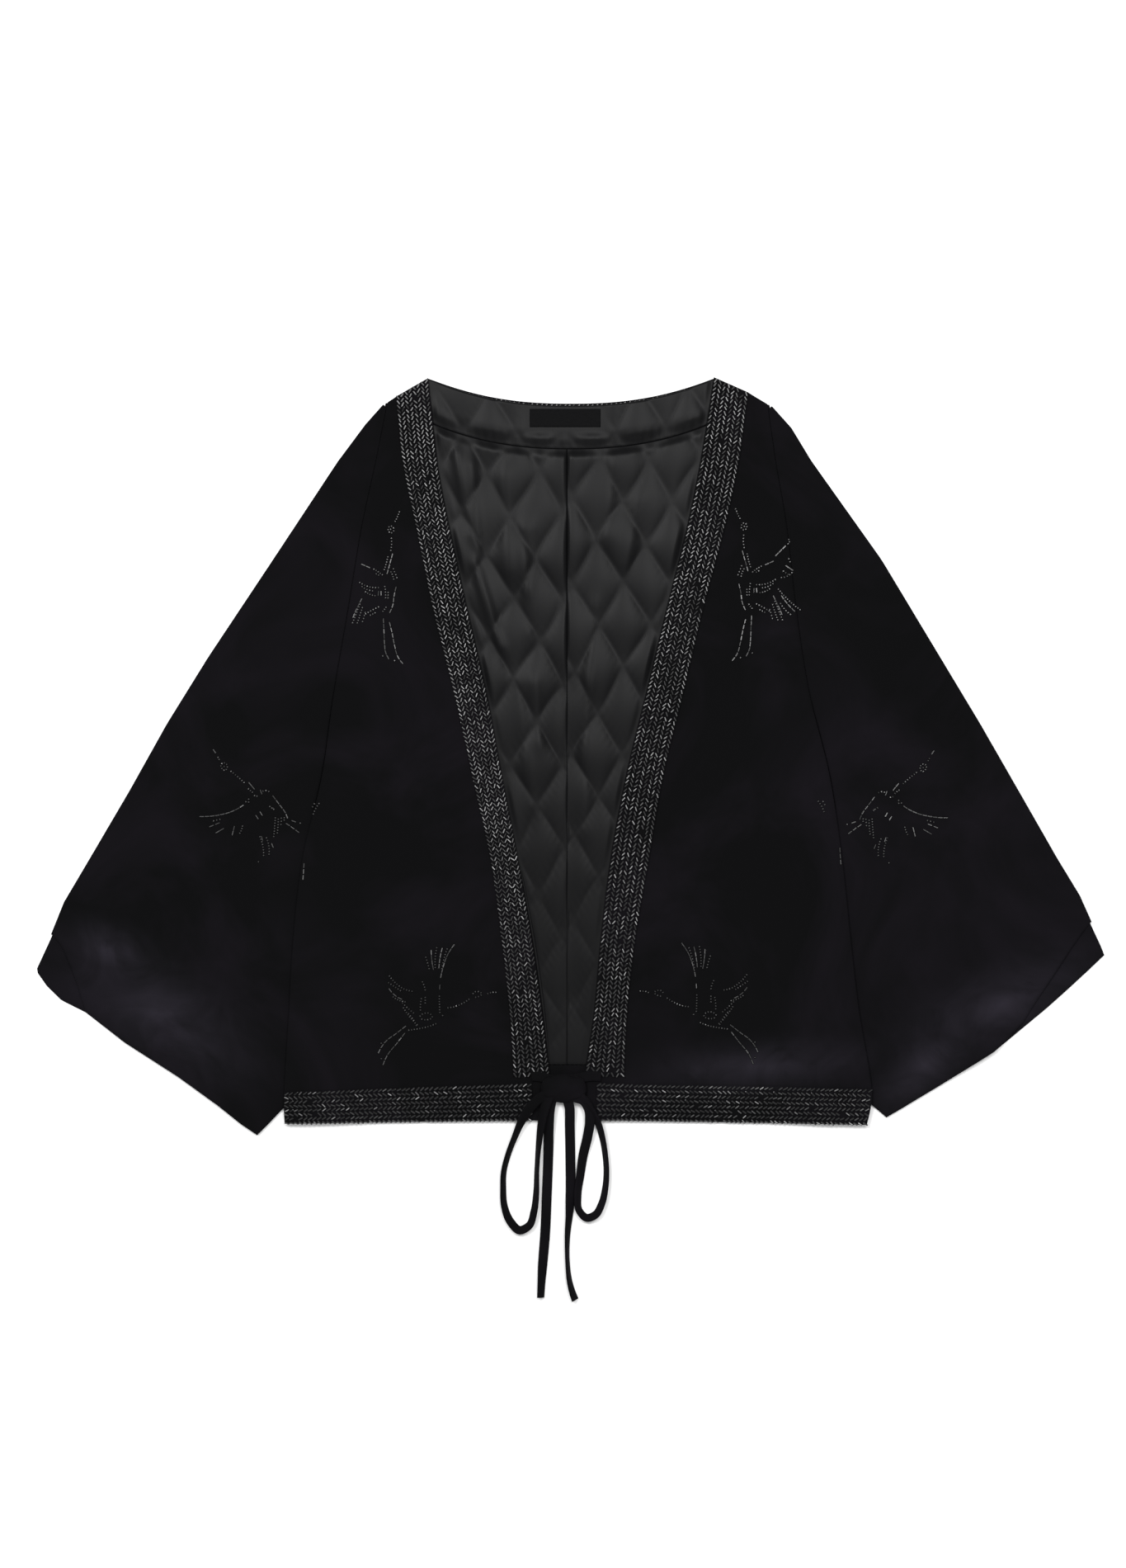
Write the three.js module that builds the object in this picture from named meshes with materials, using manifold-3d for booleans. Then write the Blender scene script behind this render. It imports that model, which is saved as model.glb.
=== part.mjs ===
// Cropped kimono jacket in velvet with a quilted satin lining, laid flat with its front up.
// Millimetres, +X to the wearer's left, +Y towards the neck, +Z up, floor at Z = 0.
// The origin lies under the middle of the garment's outline.

import * as THREE from 'three';
import { mergeVertices } from 'three/addons/utils/BufferGeometryUtils.js';
import Module from 'manifold-3d';

const wasm = await Module();
wasm.setup();

// Cloth and seams
const velvetThickness = 1.5;
const satinThickness = 1.2;
const trimThickness = 1.5;
const labelThickness = 0.6;
const seamGap = 0.3;
const armholeGap = 0.45;

// Layers of the body, from the floor up
const liningBottom = velvetThickness + seamGap;
const liningTop = liningBottom + satinThickness;
const frontBottom = velvetThickness + seamGap;
const frontLift = satinThickness + seamGap;

// The body's sides lie on the sleeves' underarm edges
const sleeveStack = 2 * velvetThickness + 2 * seamGap;
const backRide = { start: 22, full: -8, plateau: 20, end: 60 };
const frontRide = { start: 60, full: 20, plateau: 30, end: 85 };

// Back neckline, an even curve between the two shoulder points
const neck = { centreX: 0.5, lowY: 297.2, rise: 22.9, halfWidth: 121, power: 2.3 };
const neckFacingDepth = 36.4;
const neckTrim = { lowY: 267, rise: 36.5, halfWidth: 149.5, power: 2.9, proud: 1 };

// Quilting of the lining: upright diamonds, each half of the back with its own start
const diamond = { width: 42.7, height: 71.4, steps: 2, puff: 2.2, roundness: 0.7 };
const quiltStart = { left: { x: -70.4, y: 241.8 }, right: { x: 23.5, y: 253 } };
const quiltEdge = { plain: 4, soft: 10 };
const facingPuff = 0.6;
const centreSeamX = -3;
const liningSteps = { across: 8, along: 18, neck: 16 };
const liningTuck = 0.4;
const facingEndY = 277;
const hemFacing = { topY: -261.5, inset: 0.5 };
const cutter = { below: 5, height: 20 };

const label = { left: -34.5, right: 25.5, low: 279, high: 294.3, plain: 5 };

// Each half of the body, a row for each level from the shoulder seam to the hem:
// side seam, outer edge of the front trim, and front edge
const columns = ['sideX', 'sideY', 'trimX', 'trimY', 'edgeX', 'edgeY'];
const leftBody = table(columns, [
  [-155, 300, -148, 304.5, -120.5, 320.3],
  [-165, 249.5, -142.5, 249.5, -113, 251],
  [-177, 193.5, -131, 193.5, -102.5, 193.5],
  [-188.5, 123.5, -116.5, 123.5, -87, 123.5],
  [-200.5, 53.5, -99, 53.5, -71, 53.5],
  [-210.5, -16.5, -83.5, -16.5, -58, -16.5],
  [-227, -86.5, -68, -86.5, -44.5, -86.5],
  [-235, -156.5, -58.5, -156.5, -32.5, -156.5],
  [-238.5, -216, -52, -216, -24, -216],
  [-242.5, -284, -48.5, -277, -17, -275.5],
  [-242, -311, -48.5, -308.5, -16, -308.5],
]);
const rightBody = table(columns, [
  [167, 298.5, 151, 308, 121.5, 321],
  [174, 249.5, 143, 249.5, 110, 249.5],
  [183.5, 193.5, 131, 193.5, 98.5, 193.5],
  [191.5, 123.5, 112.5, 123.5, 81, 123.5],
  [202.5, 53.5, 96, 53.5, 64, 53.5],
  [219.5, -16.5, 79, -16.5, 47, -16.5],
  [230, -86.5, 67, -86.5, 34, -86.5],
  [237.5, -156.5, 55, -156.5, 25.5, -156.5],
  [244.5, -216, 48.5, -216, 20, -216],
  [255, -281, 46, -277, 11.5, -275.5],
  [251, -312, 46, -308.5, 13, -308.5],
]);
const bodyRows = leftBody.length - 1;
const hemTrimTop = 9 / bodyRows;
const frontTrimEnd = 8.8 / bodyRows;
const rowsPerLevel = 2;

// Columns of a front: 0 side seam, 1 outer edge of the trim, 2 front edge;
// lift is the share of the lining's thickness that it lies on
const frontColumns = table(['at', 'lift'], [
  [0, 0],
  [0.1, 0],
  [0.2, 0],
  [0.32, 0],
  [0.45, 0],
  [0.62, 0.1],
  [0.82, 0.5],
  [1, 0.8],
  [1.45, 1],
  [1.75, 1],
  [2, 1],
]);
const hemTrimEnd = { left: 1.75, right: 1.45 };

// Columns of the back panel, as shares of its width, and its hem
const backShares = [0, 0.045, 0.09, 0.135, 0.2, 0.3, 0.4, 0.5, 0.6, 0.7, 0.8, 0.865, 0.91, 0.955, 1];
const backLevels = 18;
const hemArch = { trimTop: 24, edge: 19.3 };

// Each sleeve from the shoulder to the cuff: the overarm fold, the height at which the
// section meets the body, and how far its underarm edge is tucked under the body
const sleeveColumns = ['foldX', 'foldY', 'innerY', 'tuck'];
const leftSleeve = table(sleeveColumns, [
  [-157.6, 297.2, 294.5, 0],
  [-172.5, 280.5, 268, 0],
  [-196, 249, 229, 0],
  [-251.6, 164.8, 118.5, 0],
  [-306, 83, 6.5, 0],
  [-341, 26.5, -45, 0],
  [-372, -29, -95, 14],
  [-406, -87, -185, 14],
  [-428, -124.2, -285, 13],
  [-439, -151.5, -321, -23],
]);
const rightSleeve = table(sleeveColumns, [
  [169.6, 295.8, 292.5, 0],
  [186, 277.5, 262, 0],
  [203, 249.5, 228.5, 0],
  [262.5, 165.8, 113, 0],
  [312, 83.5, 7.5, 0],
  [346, 27, -45, 0],
  [379, -30.5, -95, 14],
  [411, -86.5, -185, 14],
  [430.5, -118.6, -286, 13],
  [440.5, -141, -306, -15],
]);
const rowsPerSleeveLevel = 3;

// Cuff edges: share of the way from the fold to the underarm, and how far the upper
// and the lower layer run past the straight line between the two corners
const cuffColumns = ['share', 'upper', 'lower'];
const leftCuff = table(cuffColumns, [
  [0, 0, 0],
  [0.045, 1, 31.6],
  [0.11, 7, 34.5],
  [0.18, 15, 34.5],
  [0.27, 27, 27.5],
  [0.44, 22.6, 22.8],
  [0.66, 11.6, 11.6],
  [0.83, 5.4, 5.4],
  [0.93, 3, 3],
  [1, 0, 0],
]);
const rightCuff = table(cuffColumns, [
  [0, 0, 0],
  [0.04, 1.5, 28.4],
  [0.12, 5, 28.4],
  [0.22, 10.5, 28],
  [0.32, 16, 27.2],
  [0.42, 22, 25.5],
  [0.56, 22.8, 23.2],
  [0.78, 12, 12],
  [0.93, 4, 4],
  [1, 0, 0],
]);
const cuffReachLevels = 2.5;
const overarmTurns = [45, 0, -45];

// Soft folds of the cloth: a line from its start to its end, half width and height
const foldColumns = ['startX', 'startY', 'endX', 'endY', 'width', 'height'];
const clothFolds = table(foldColumns, [
  [-400, -172, -318, -215, 26, 3.2],
  [-330, -235, -278, -285, 24, 3.4],
  [-270, 60, -300, -120, 30, 2.2],
  [-352, -40, -372, -120, 22, 1.8],
  [262, 62, 306, -110, 30, 2.2],
  [268, -190, 352, -258, 26, 3.6],
  [352, -30, 384, -112, 22, 1.8],
  [300, -150, 392, -166, 24, 2.4],
  [-150, 150, -160, 20, 26, 1.2],
  [150, 130, 158, 0, 26, 1.2],
  [-150, -190, -120, -250, 24, 1.6],
  [120, -225, 205, -240, 22, 1.8],
]);
const foldClear = { from: 5, to: 34, overarm: 0.3 };

// Puckers of the lining between its quilting lines, on the same columns
const liningFolds = table(foldColumns, [
  [-96, 255, -84, 190, 5, 1.4],
  [-84, 245, -78, 180, 5, 1.2],
  [-80, 160, -60, 95, 5, 1.5],
  [-56, 235, -52, 160, 7, 0.9],
  [-34, 190, -34, 110, 7, 0.8],
  [-44, 60, -32, -40, 7, 0.9],
  [14, 60, 12, -60, 7, 0.8],
]);

// The strip of the left front's own lining that shows past its trim
const edgeStrip = { start: 0.61, end: 0.87, levels: 8, narrow: 0.8, wide: 2.4, thickness: 1 };

// Ties: a flat velvet tape, standing nearly on edge round its loops
const tailTape = { width: 7, thickness: 2.4 };
const loopTape = { width: 4, thickness: 6 };
const tapeRounding = 0.6;
const tieSteps = { lead: 2, loop: 20, tail: 14 };
const bowKnot = { x: -7, y: -280.5, z: 9.6, length: 28, height: 18, thickness: 9.2, rings: 8, sides: 12 };
const tieRoutes = {
  tie_left_lead: { tape: tailTape, steps: tieSteps.lead, points: [
    [-33, -270.9, 6.4], [-26, -271.1, 6.4], [-18.2, -273.3, 7],
  ] },
  tie_left_loop: { tape: loopTape, steps: tieSteps.loop, points: [
    [-18.9, -285.8, 10.3], [-32, -296, 10.4], [-41.5, -309.5, 10], [-47, -322, 7], [-53, -338, 3.6],
    [-56.5, -352, 3.2], [-57, -366, 3.2], [-56, -381, 3.2], [-51, -394, 3.2], [-43, -401.5, 3.2],
    [-35, -397.5, 3.2], [-31, -386, 3.2], [-29, -370, 3.2], [-28.5, -352, 3.2], [-27.5, -336, 3.4],
    [-26, -321, 8.4], [-24.3, -309, 10.4], [-22.2, -299, 10.8], [-18.1, -288.2, 10.4],
  ] },
  tie_left_tail: { tape: tailTape, steps: tieSteps.tail, points: [
    [-11.6, -289.5, 8.5], [-15, -299, 7.6], [-17.6, -308.5, 6.6], [-18.3, -318, 4.6], [-18.5, -329, 2.2],
    [-19, -345, 1.5], [-20, -371, 1.4], [-21.5, -405, 1.4], [-23.5, -430, 1.4], [-25.2, -458.5, 1.4],
  ] },
  tie_right_lead: { tape: tailTape, steps: tieSteps.lead, points: [
    [26, -270.9, 6.4], [14, -271.1, 6.4], [3.9, -273.3, 7],
  ] },
  tie_right_loop: { tape: loopTape, steps: tieSteps.loop, points: [
    [4.7, -285.9, 10.3], [14.5, -296, 10.2], [22.5, -308.5, 8.8], [27, -323, 5.2], [29.5, -338, 3.3],
    [30.5, -352, 3.2], [29.5, -366, 3.2], [26.5, -379, 3.2], [21, -388.5, 3.2], [14, -391, 3.2],
    [7.5, -385, 3.2], [6.2, -373, 3.2], [8.2, -356, 3.2], [11, -338, 3.4],
    [14.5, -321.5, 6], [15.5, -308, 8.8], [12, -297.5, 9.6], [3.4, -288.7, 9.7],
  ] },
  tie_right_tail: { tape: tailTape, steps: tieSteps.tail, points: [
    [-3, -289.5, 8.3], [-1.5, -296.5, 7.7], [-0.8, -304, 5.4], [-0.5, -313, 2.9], [-0.3, -324, 1.7],
    [0, -345, 1.4],
    [0, -371, 1.4], [-0.8, -386, 1.4], [-2.5, -406, 1.4], [-2.5, -428, 1.4], [-0.5, -446, 1.4],
    [4, -460.5, 1.4],
  ] },
};

// Finishes
const finishes = {
  velvet: { color: 0x0e0e11, roughness: 0.95, metalness: 0 },
  satin: { color: 0x343438, roughness: 0.45, metalness: 0 },
  beading: { color: 0x55555a, roughness: 0.3, metalness: 0.2 },
  label: { color: 0x1b1b1f, roughness: 0.7, metalness: 0 },
};

const jacket = new THREE.Group();

function table(names, rows) {
  return rows.map((row) => Object.fromEntries(names.map((name, i) => [name, row[i]])));
}

function lerp(a, b, t) {
  return a + (b - a) * t;
}

function smooth(from, to, value) {
  const t = THREE.MathUtils.clamp((value - from) / (to - from), 0, 1);
  return t * t * (3 - 2 * t);
}

// A column of a table as an even curve through its rows, t from 0 to 1
function curved(rows, name, t) {
  const place = THREE.MathUtils.clamp(t, 0, 1) * (rows.length - 1);
  const i = Math.min(Math.floor(place), rows.length - 2);
  const u = place - i;
  const at = (k) => rows[THREE.MathUtils.clamp(k, 0, rows.length - 1)][name];
  const [p, q, r, s] = [at(i - 1), at(i), at(i + 1), at(i + 2)];
  return q + 0.5 * u * (r - p + u * (2 * p - 5 * q + 4 * r - s + u * (3 * (q - r) + s - p)));
}

// A column of a table as straight lines between its rows
function straight(rows, name, t) {
  const place = THREE.MathUtils.clamp(t, 0, 1) * (rows.length - 1);
  const i = Math.min(Math.floor(place), rows.length - 2);
  return lerp(rows[i][name], rows[i + 1][name], place - i);
}

function bodyPoint(body, line, t) {
  return { x: curved(body, `${line}X`, t), y: curved(body, `${line}Y`, t) };
}

// The x of a body line at a height, found by halving the stretch that holds it
function lineX(body, line, y) {
  let [high, low] = [0, 1];
  for (let i = 0; i < 30; i += 1) {
    const middle = (high + low) / 2;
    if (curved(body, `${line}Y`, middle) > y) high = middle;
    else low = middle;
  }
  return curved(body, `${line}X`, (high + low) / 2);
}

// Height of soft folds at a point: each is a rounded ridge that fades at its ends
function foldHeight(folds, x, y) {
  let height = 0;
  for (const fold of folds) {
    const [dx, dy] = [fold.endX - fold.startX, fold.endY - fold.startY];
    const length = Math.hypot(dx, dy);
    const along = ((x - fold.startX) * dx + (y - fold.startY) * dy) / length;
    const across = ((x - fold.startX) * dy - (y - fold.startY) * dx) / length;
    const past = Math.max(-along, along - length, 0);
    height += fold.height * Math.exp(-((across / fold.width) ** 2) - (past / (2 * fold.width)) ** 2);
  }
  return height;
}

// Distance from a point inwards to the nearer side seam
function insideSide(x, y) {
  return Math.min(x - lineX(leftBody, 'side', y), lineX(rightBody, 'side', y) - x);
}

// How far the cloth rides up where the body lies on the sleeves
function rideUp(ride, x, y) {
  const inside = insideSide(x, y);
  return sleeveStack * smooth(ride.start, ride.full, y) * (1 - smooth(ride.plateau, ride.end, inside));
}

// A closed sheet between two grids of points; leaning(i, j) turns a cell's diagonal
function closedSheet(upper, lower, leaning = () => false) {
  const [rows, cols] = [upper.length, upper[0].length];
  const points = [...upper.flat(), ...lower.flat()];
  const top = (i, j) => i * cols + j;
  const under = (i, j) => rows * cols + i * cols + j;
  const faces = [];
  const quad = (a, b, c, d) => faces.push(a, b, c, a, c, d);
  for (let i = 0; i + 1 < rows; i += 1) {
    for (let j = 0; j + 1 < cols; j += 1) {
      if (leaning(i, j)) quad(top(i, j + 1), top(i, j), top(i + 1, j), top(i + 1, j + 1));
      else quad(top(i, j), top(i + 1, j), top(i + 1, j + 1), top(i, j + 1));
      quad(under(i, j), under(i, j + 1), under(i + 1, j + 1), under(i + 1, j));
    }
  }
  for (let i = 0; i + 1 < rows; i += 1) {
    quad(top(i, 0), under(i, 0), under(i + 1, 0), top(i + 1, 0));
    quad(top(i + 1, cols - 1), under(i + 1, cols - 1), under(i, cols - 1), top(i, cols - 1));
  }
  for (let j = 0; j + 1 < cols; j += 1) {
    quad(top(0, j + 1), under(0, j + 1), under(0, j), top(0, j));
    quad(top(rows - 1, j), under(rows - 1, j), under(rows - 1, j + 1), top(rows - 1, j + 1));
  }
  return outward(points, faces);
}

// Six times a closed body's volume tells whether its faces point out
function outward(points, faces) {
  let volume = 0;
  for (let i = 0; i < faces.length; i += 3) {
    const [a, b, c] = [points[faces[i]], points[faces[i + 1]], points[faces[i + 2]]];
    volume += a.dot(b.clone().cross(c));
  }
  const geometry = new THREE.BufferGeometry().setFromPoints(points);
  geometry.setIndex(volume > 0 ? faces : faces.toReversed());
  geometry.computeVertexNormals();
  return geometry;
}

// A sheet over a grid of plan points, with a height and a wall
function plate(plan, bottom, thickness, leaning) {
  const lower = plan.map((row) => row.map(({ x, y }) => new THREE.Vector3(x, y, bottom(x, y))));
  const upper = lower.map((row) => row.map((p) => new THREE.Vector3(p.x, p.y, p.z + thickness)));
  return closedSheet(upper, lower, leaning);
}

function addPiece(name, geometry, finish) {
  const piece = new THREE.Mesh(geometry, new THREE.MeshStandardMaterial(finishes[finish]));
  piece.name = name;
  jacket.add(piece);
}

function shares(count) {
  return Array.from({ length: count + 1 }, (_, i) => i / count);
}

// Back neckline and the seams that follow it
function neckY(x) {
  return neck.lowY + neck.rise * (Math.abs(x - neck.centreX) / neck.halfWidth) ** neck.power;
}

function neckTrimUpper(t) {
  const x = lerp(leftBody[0].edgeX, rightBody[0].edgeX, t);
  return { x, y: neckY(x) + neckTrim.proud * Math.sin(Math.PI * t) };
}

function neckTrimLower(t) {
  const x = lerp(leftBody[0].trimX, rightBody[0].trimX, t);
  const away = Math.abs(x - neck.centreX) / neckTrim.halfWidth;
  return { x, y: neckTrim.lowY + neckTrim.rise * away ** neckTrim.power };
}

const neckTrimShares = shares(backShares.length - 3);

// The back's hem line at a share of its width; arch lifts its middle
function hemPoint(t, level, arch) {
  const left = bodyPoint(leftBody, 'side', level);
  const right = bodyPoint(rightBody, 'side', level);
  return { x: lerp(left.x, right.x, t), y: lerp(left.y, right.y, t) + arch * (1 - (2 * t - 1) ** 2) };
}

function lowered(point, distance) {
  return { x: point.x, y: point.y - distance };
}

// The back panel fills the space between its two side seams, the neck trim and the hem trim
function backPlan() {
  const top = [
    bodyPoint(leftBody, 'side', 0),
    ...neckTrimShares.map((t) => lowered(neckTrimLower(t), seamGap)),
    bodyPoint(rightBody, 'side', 0),
  ];
  const bottom = backShares.map((u) => hemPoint(u, hemTrimTop, hemArch.trimTop));
  return shares(backLevels).map((v) => {
    const left = bodyPoint(leftBody, 'side', v * hemTrimTop);
    const right = bodyPoint(rightBody, 'side', v * hemTrimTop);
    return backShares.map((u, j) => {
      const blend = (axis) =>
        lerp(top[j][axis], bottom[j][axis], v) +
        lerp(left[axis], right[axis], u) -
        lerp(lerp(top[0][axis], top.at(-1)[axis], u), lerp(bottom[0][axis], bottom.at(-1)[axis], u), v);
      return { x: blend('x'), y: blend('y') };
    });
  });
}

function makeBack() {
  const bottom = (x, y) => rideUp(backRide, x, y);
  addPiece('back_panel', plate(backPlan(), bottom, velvetThickness), 'velvet');
  const hem = [0, 1].map((v) =>
    backShares.map((u) => {
      const high = lowered(hemPoint(u, hemTrimTop, hemArch.trimTop), seamGap);
      const low = hemPoint(u, 1, hemArch.edge);
      return { x: lerp(high.x, low.x, v), y: lerp(high.y, low.y, v) };
    }),
  );
  addPiece('hem_trim_back', plate(hem, bottom, trimThickness), 'beading');
  const collar = [neckTrimUpper, neckTrimLower].map((line) => neckTrimShares.map(line));
  addPiece('neck_trim_back', plate(collar, () => 0, trimThickness), 'beading');
}

// A point of a front: 0 side seam, 1 outer edge of the trim, 2 front edge
function frontPoint(body, at, level) {
  const side = bodyPoint(body, 'side', level);
  const trim = bodyPoint(body, 'trim', level);
  const edge = bodyPoint(body, 'edge', level);
  const [from, to] = at < 1 ? [side, trim] : [trim, edge];
  const t = at < 1 ? at : at - 1;
  return { x: lerp(from.x, to.x, t), y: lerp(from.y, to.y, t) };
}

function frontHeight(column, x, y) {
  const clear = smooth(0, foldClear.to, insideSide(x, y)) * (1 - column.lift);
  return (
    frontBottom + frontLift * column.lift + rideUp(frontRide, x, y) + clear * foldHeight(clothFolds, x, y)
  );
}

// A layer on a front: its columns and levels, moved up from the front's own points
function frontLayer(body, cols, levels, rise, thickness) {
  const lower = levels.map((level) =>
    cols.map((column) => {
      const { x, y } = frontPoint(body, column.at, level);
      return new THREE.Vector3(x, y, frontHeight(column, x, y) + rise);
    }),
  );
  const upper = lower.map((row) => row.map((p) => new THREE.Vector3(p.x, p.y, p.z + thickness)));
  return closedSheet(upper, lower);
}

function makeFront(side, body) {
  const rows = bodyRows * rowsPerLevel;
  const levels = shares(rows);
  addPiece(`front_${side}`, frontLayer(body, frontColumns, levels, 0, velvetThickness), 'velvet');
  const above = velvetThickness + seamGap;
  const trimColumns = frontColumns.filter((column) => column.at >= 1);
  const trimLevels = [...levels.filter((level) => level < frontTrimEnd), frontTrimEnd];
  addPiece(`front_trim_${side}`, frontLayer(body, trimColumns, trimLevels, above, trimThickness), 'beading');
  const hemColumns = frontColumns.filter((column) => column.at <= hemTrimEnd[side]);
  const hemLevels = levels.slice(Math.round(hemTrimTop * rows));
  addPiece(`hem_trim_${side}`, frontLayer(body, hemColumns, hemLevels, above, trimThickness), 'beading');
}

// The sleeve is one cloth folded along the overarm: the upper layer from the underarm edge
// to the fold, round it, and the lower layer back to the underarm edge
function makeSleeve(side, body, rows, cuff, outwardSign) {
  const count = (rows.length - 1) * rowsPerSleeveLevel;
  const last = rows.at(-1);
  const lastInner = innerEdge(body, rows, 1, outwardSign);
  const run = new THREE.Vector2(lastInner.x - last.foldX, lastInner.y - last.foldY).normalize();
  const past = new THREE.Vector2(-run.y * outwardSign, run.x * outwardSign);
  const [outer, inner] = [[], []];
  for (const t of shares(count)) {
    const fold = { x: straight(rows, 'foldX', t), y: straight(rows, 'foldY', t) };
    const edge = innerEdge(body, rows, t, outwardSign);
    const fromCuff = (1 - t) * (rows.length - 1);
    const reach = 1 - smooth(0, cuffReachLevels, fromCuff);
    const layer = (column, name) => {
      const shift = column[name] * reach;
      const x = lerp(fold.x, edge.x, column.share) + past.x * shift;
      const y = lerp(fold.y, edge.y, column.share) + past.y * shift;
      return { x, y };
    };
    const away = foldDirection(rows, t, outwardSign);
    const half = velvetThickness + seamGap / 2;
    const [outerRow, innerRow] = [[], []];
    for (const column of cuff.toReversed()) {
      const { x, y } = layer(column, 'upper');
      const beside = smooth(foldClear.from, foldClear.to, -insideSide(x, y));
      const clear = beside * smooth(0, foldClear.overarm, column.share);
      const z = half + seamGap / 2 + clear * foldHeight(clothFolds, x, y);
      outerRow.push(new THREE.Vector3(x, y, z + velvetThickness));
      innerRow.push(new THREE.Vector3(x, y, z));
    }
    for (const turn of overarmTurns) {
      const angle = THREE.MathUtils.degToRad(turn);
      for (const [row, radius] of [[outerRow, half], [innerRow, seamGap / 2]]) {
        const out = radius * Math.cos(angle);
        const z = half + radius * Math.sin(angle);
        row.push(new THREE.Vector3(fold.x + away.x * out, fold.y + away.y * out, z));
      }
    }
    for (const column of cuff) {
      const { x, y } = layer(column, 'lower');
      outerRow.push(new THREE.Vector3(x, y, 0));
      innerRow.push(new THREE.Vector3(x, y, velvetThickness));
    }
    outer.push(outerRow);
    inner.push(innerRow);
  }
  addPiece(`sleeve_${side}`, closedSheet(outer, inner), 'velvet');
}

// The sleeve's edge at the armhole, and below it under the body's side
function innerEdge(body, rows, t, outwardSign) {
  const y = straight(rows, 'innerY', t);
  const outside = armholeGap - straight(rows, 'tuck', t);
  return { x: lineX(body, 'side', y) + outwardSign * outside, y };
}

// The level direction away from the sleeve at its overarm fold
function foldDirection(rows, t, outwardSign) {
  const step = 0.5 / (rows.length - 1);
  const dx = straight(rows, 'foldX', t + step) - straight(rows, 'foldX', t - step);
  const dy = straight(rows, 'foldY', t + step) - straight(rows, 'foldY', t - step);
  return new THREE.Vector2(-dy * outwardSign, dx * outwardSign).normalize();
}

// Cutting with an upright prism over an outline
function solidOf(geometry) {
  const plain = geometry.clone();
  plain.deleteAttribute('normal');
  plain.deleteAttribute('uv');
  const merged = mergeVertices(plain, 1e-4);
  return new wasm.Manifold(
    new wasm.Mesh({
      numProp: 3,
      vertProperties: Float32Array.from(merged.attributes.position.array),
      triVerts: Uint32Array.from(merged.index.array),
    }),
  );
}

function geometryOf(solid) {
  const mesh = solid.getMesh();
  const geometry = new THREE.BufferGeometry();
  geometry.setAttribute('position', new THREE.BufferAttribute(Float32Array.from(mesh.vertProperties), 3));
  geometry.setIndex(Array.from(mesh.triVerts));
  geometry.computeVertexNormals();
  return geometry;
}

function cutToOutline(geometry, outline) {
  const shape = new THREE.Shape(outline.map(({ x, y }) => new THREE.Vector2(x, y)));
  const prism = new THREE.ExtrudeGeometry(shape, { depth: cutter.height, bevelEnabled: false });
  prism.translate(0, 0, -cutter.below);
  return geometryOf(solidOf(geometry).intersect(solidOf(prism)));
}

// How far a point lies inside the opening between the two front edges
function insideOpening(x, y) {
  return Math.min(x - lineX(leftBody, 'edge', y), lineX(rightBody, 'edge', y) - x);
}

function quiltPuff(p, q, x, y) {
  const puff = (Math.abs(Math.sin(Math.PI * p)) * Math.abs(Math.sin(Math.PI * q))) ** diamond.roundness;
  const edge = smooth(quiltEdge.plain, quiltEdge.plain + quiltEdge.soft, insideOpening(x, y));
  const seam = smooth(0, quiltEdge.soft, Math.abs(x - centreSeamX));
  return (diamond.puff * puff * seam + foldHeight(liningFolds, x, y)) * edge;
}

// A quilted sheet on a grid whose diagonals are the quilting lines
function quiltedSheet(start, box, puffAt) {
  const stepX = diamond.width / (2 * diamond.steps);
  const stepY = diamond.height / (2 * diamond.steps);
  const cells = 2 * diamond.steps;
  const firstX = Math.floor((box.left - start.x) / stepX);
  const lastX = Math.ceil((box.right - start.x) / stepX);
  const firstY = Math.floor((box.low - start.y) / stepY);
  const lastY = Math.ceil((box.high - start.y) / stepY);
  const [upper, lower] = [[], []];
  for (let j = firstY; j <= lastY; j += 1) {
    const [upperRow, lowerRow] = [[], []];
    for (let i = firstX; i <= lastX; i += 1) {
      const [x, y] = [start.x + i * stepX, start.y + j * stepY];
      lowerRow.push(new THREE.Vector3(x, y, liningBottom));
      upperRow.push(new THREE.Vector3(x, y, liningTop + puffAt((i + j) / cells, (i - j) / cells, x, y)));
    }
    upper.push(upperRow);
    lower.push(lowerRow);
  }
  return closedSheet(upper, lower, (row, column) => (firstX + column + firstY + row + 1) % cells === 0);
}

// Edges of the lining, tucked a little way under the front trims
function tuckedEdge(body, y) {
  return lerp(lineX(body, 'edge', y), lineX(body, 'trim', y), liningTuck);
}

function facingSeamY(x) {
  return neckY(x) - neckFacingDepth;
}

function boxOf(outline) {
  const xs = outline.map((p) => p.x);
  const ys = outline.map((p) => p.y);
  return { left: Math.min(...xs), right: Math.max(...xs), low: Math.min(...ys), high: Math.max(...ys) };
}

function makeLining(side, body, start) {
  const centre = centreSeamX + (side === 'left' ? -seamGap / 2 : seamGap / 2);
  const topEdge = tuckedEdge(body, facingEndY);
  const bottomY = hemFacing.topY + seamGap;
  const top = shares(liningSteps.across).map((t) => lerp(centre, topEdge, t));
  const levels = shares(liningSteps.along).map((t) => lerp(facingSeamY(topEdge), bottomY, t));
  const outline = [
    ...top.map((x) => ({ x, y: facingSeamY(x) - seamGap })),
    ...levels.slice(1).map((y) => ({ x: tuckedEdge(body, y), y })),
    { x: centre, y: bottomY },
  ];
  const sheet = quiltedSheet(start, boxOf(outline), quiltPuff);
  addPiece(`lining_back_${side}`, cutToOutline(sheet, outline), 'satin');
}

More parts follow.
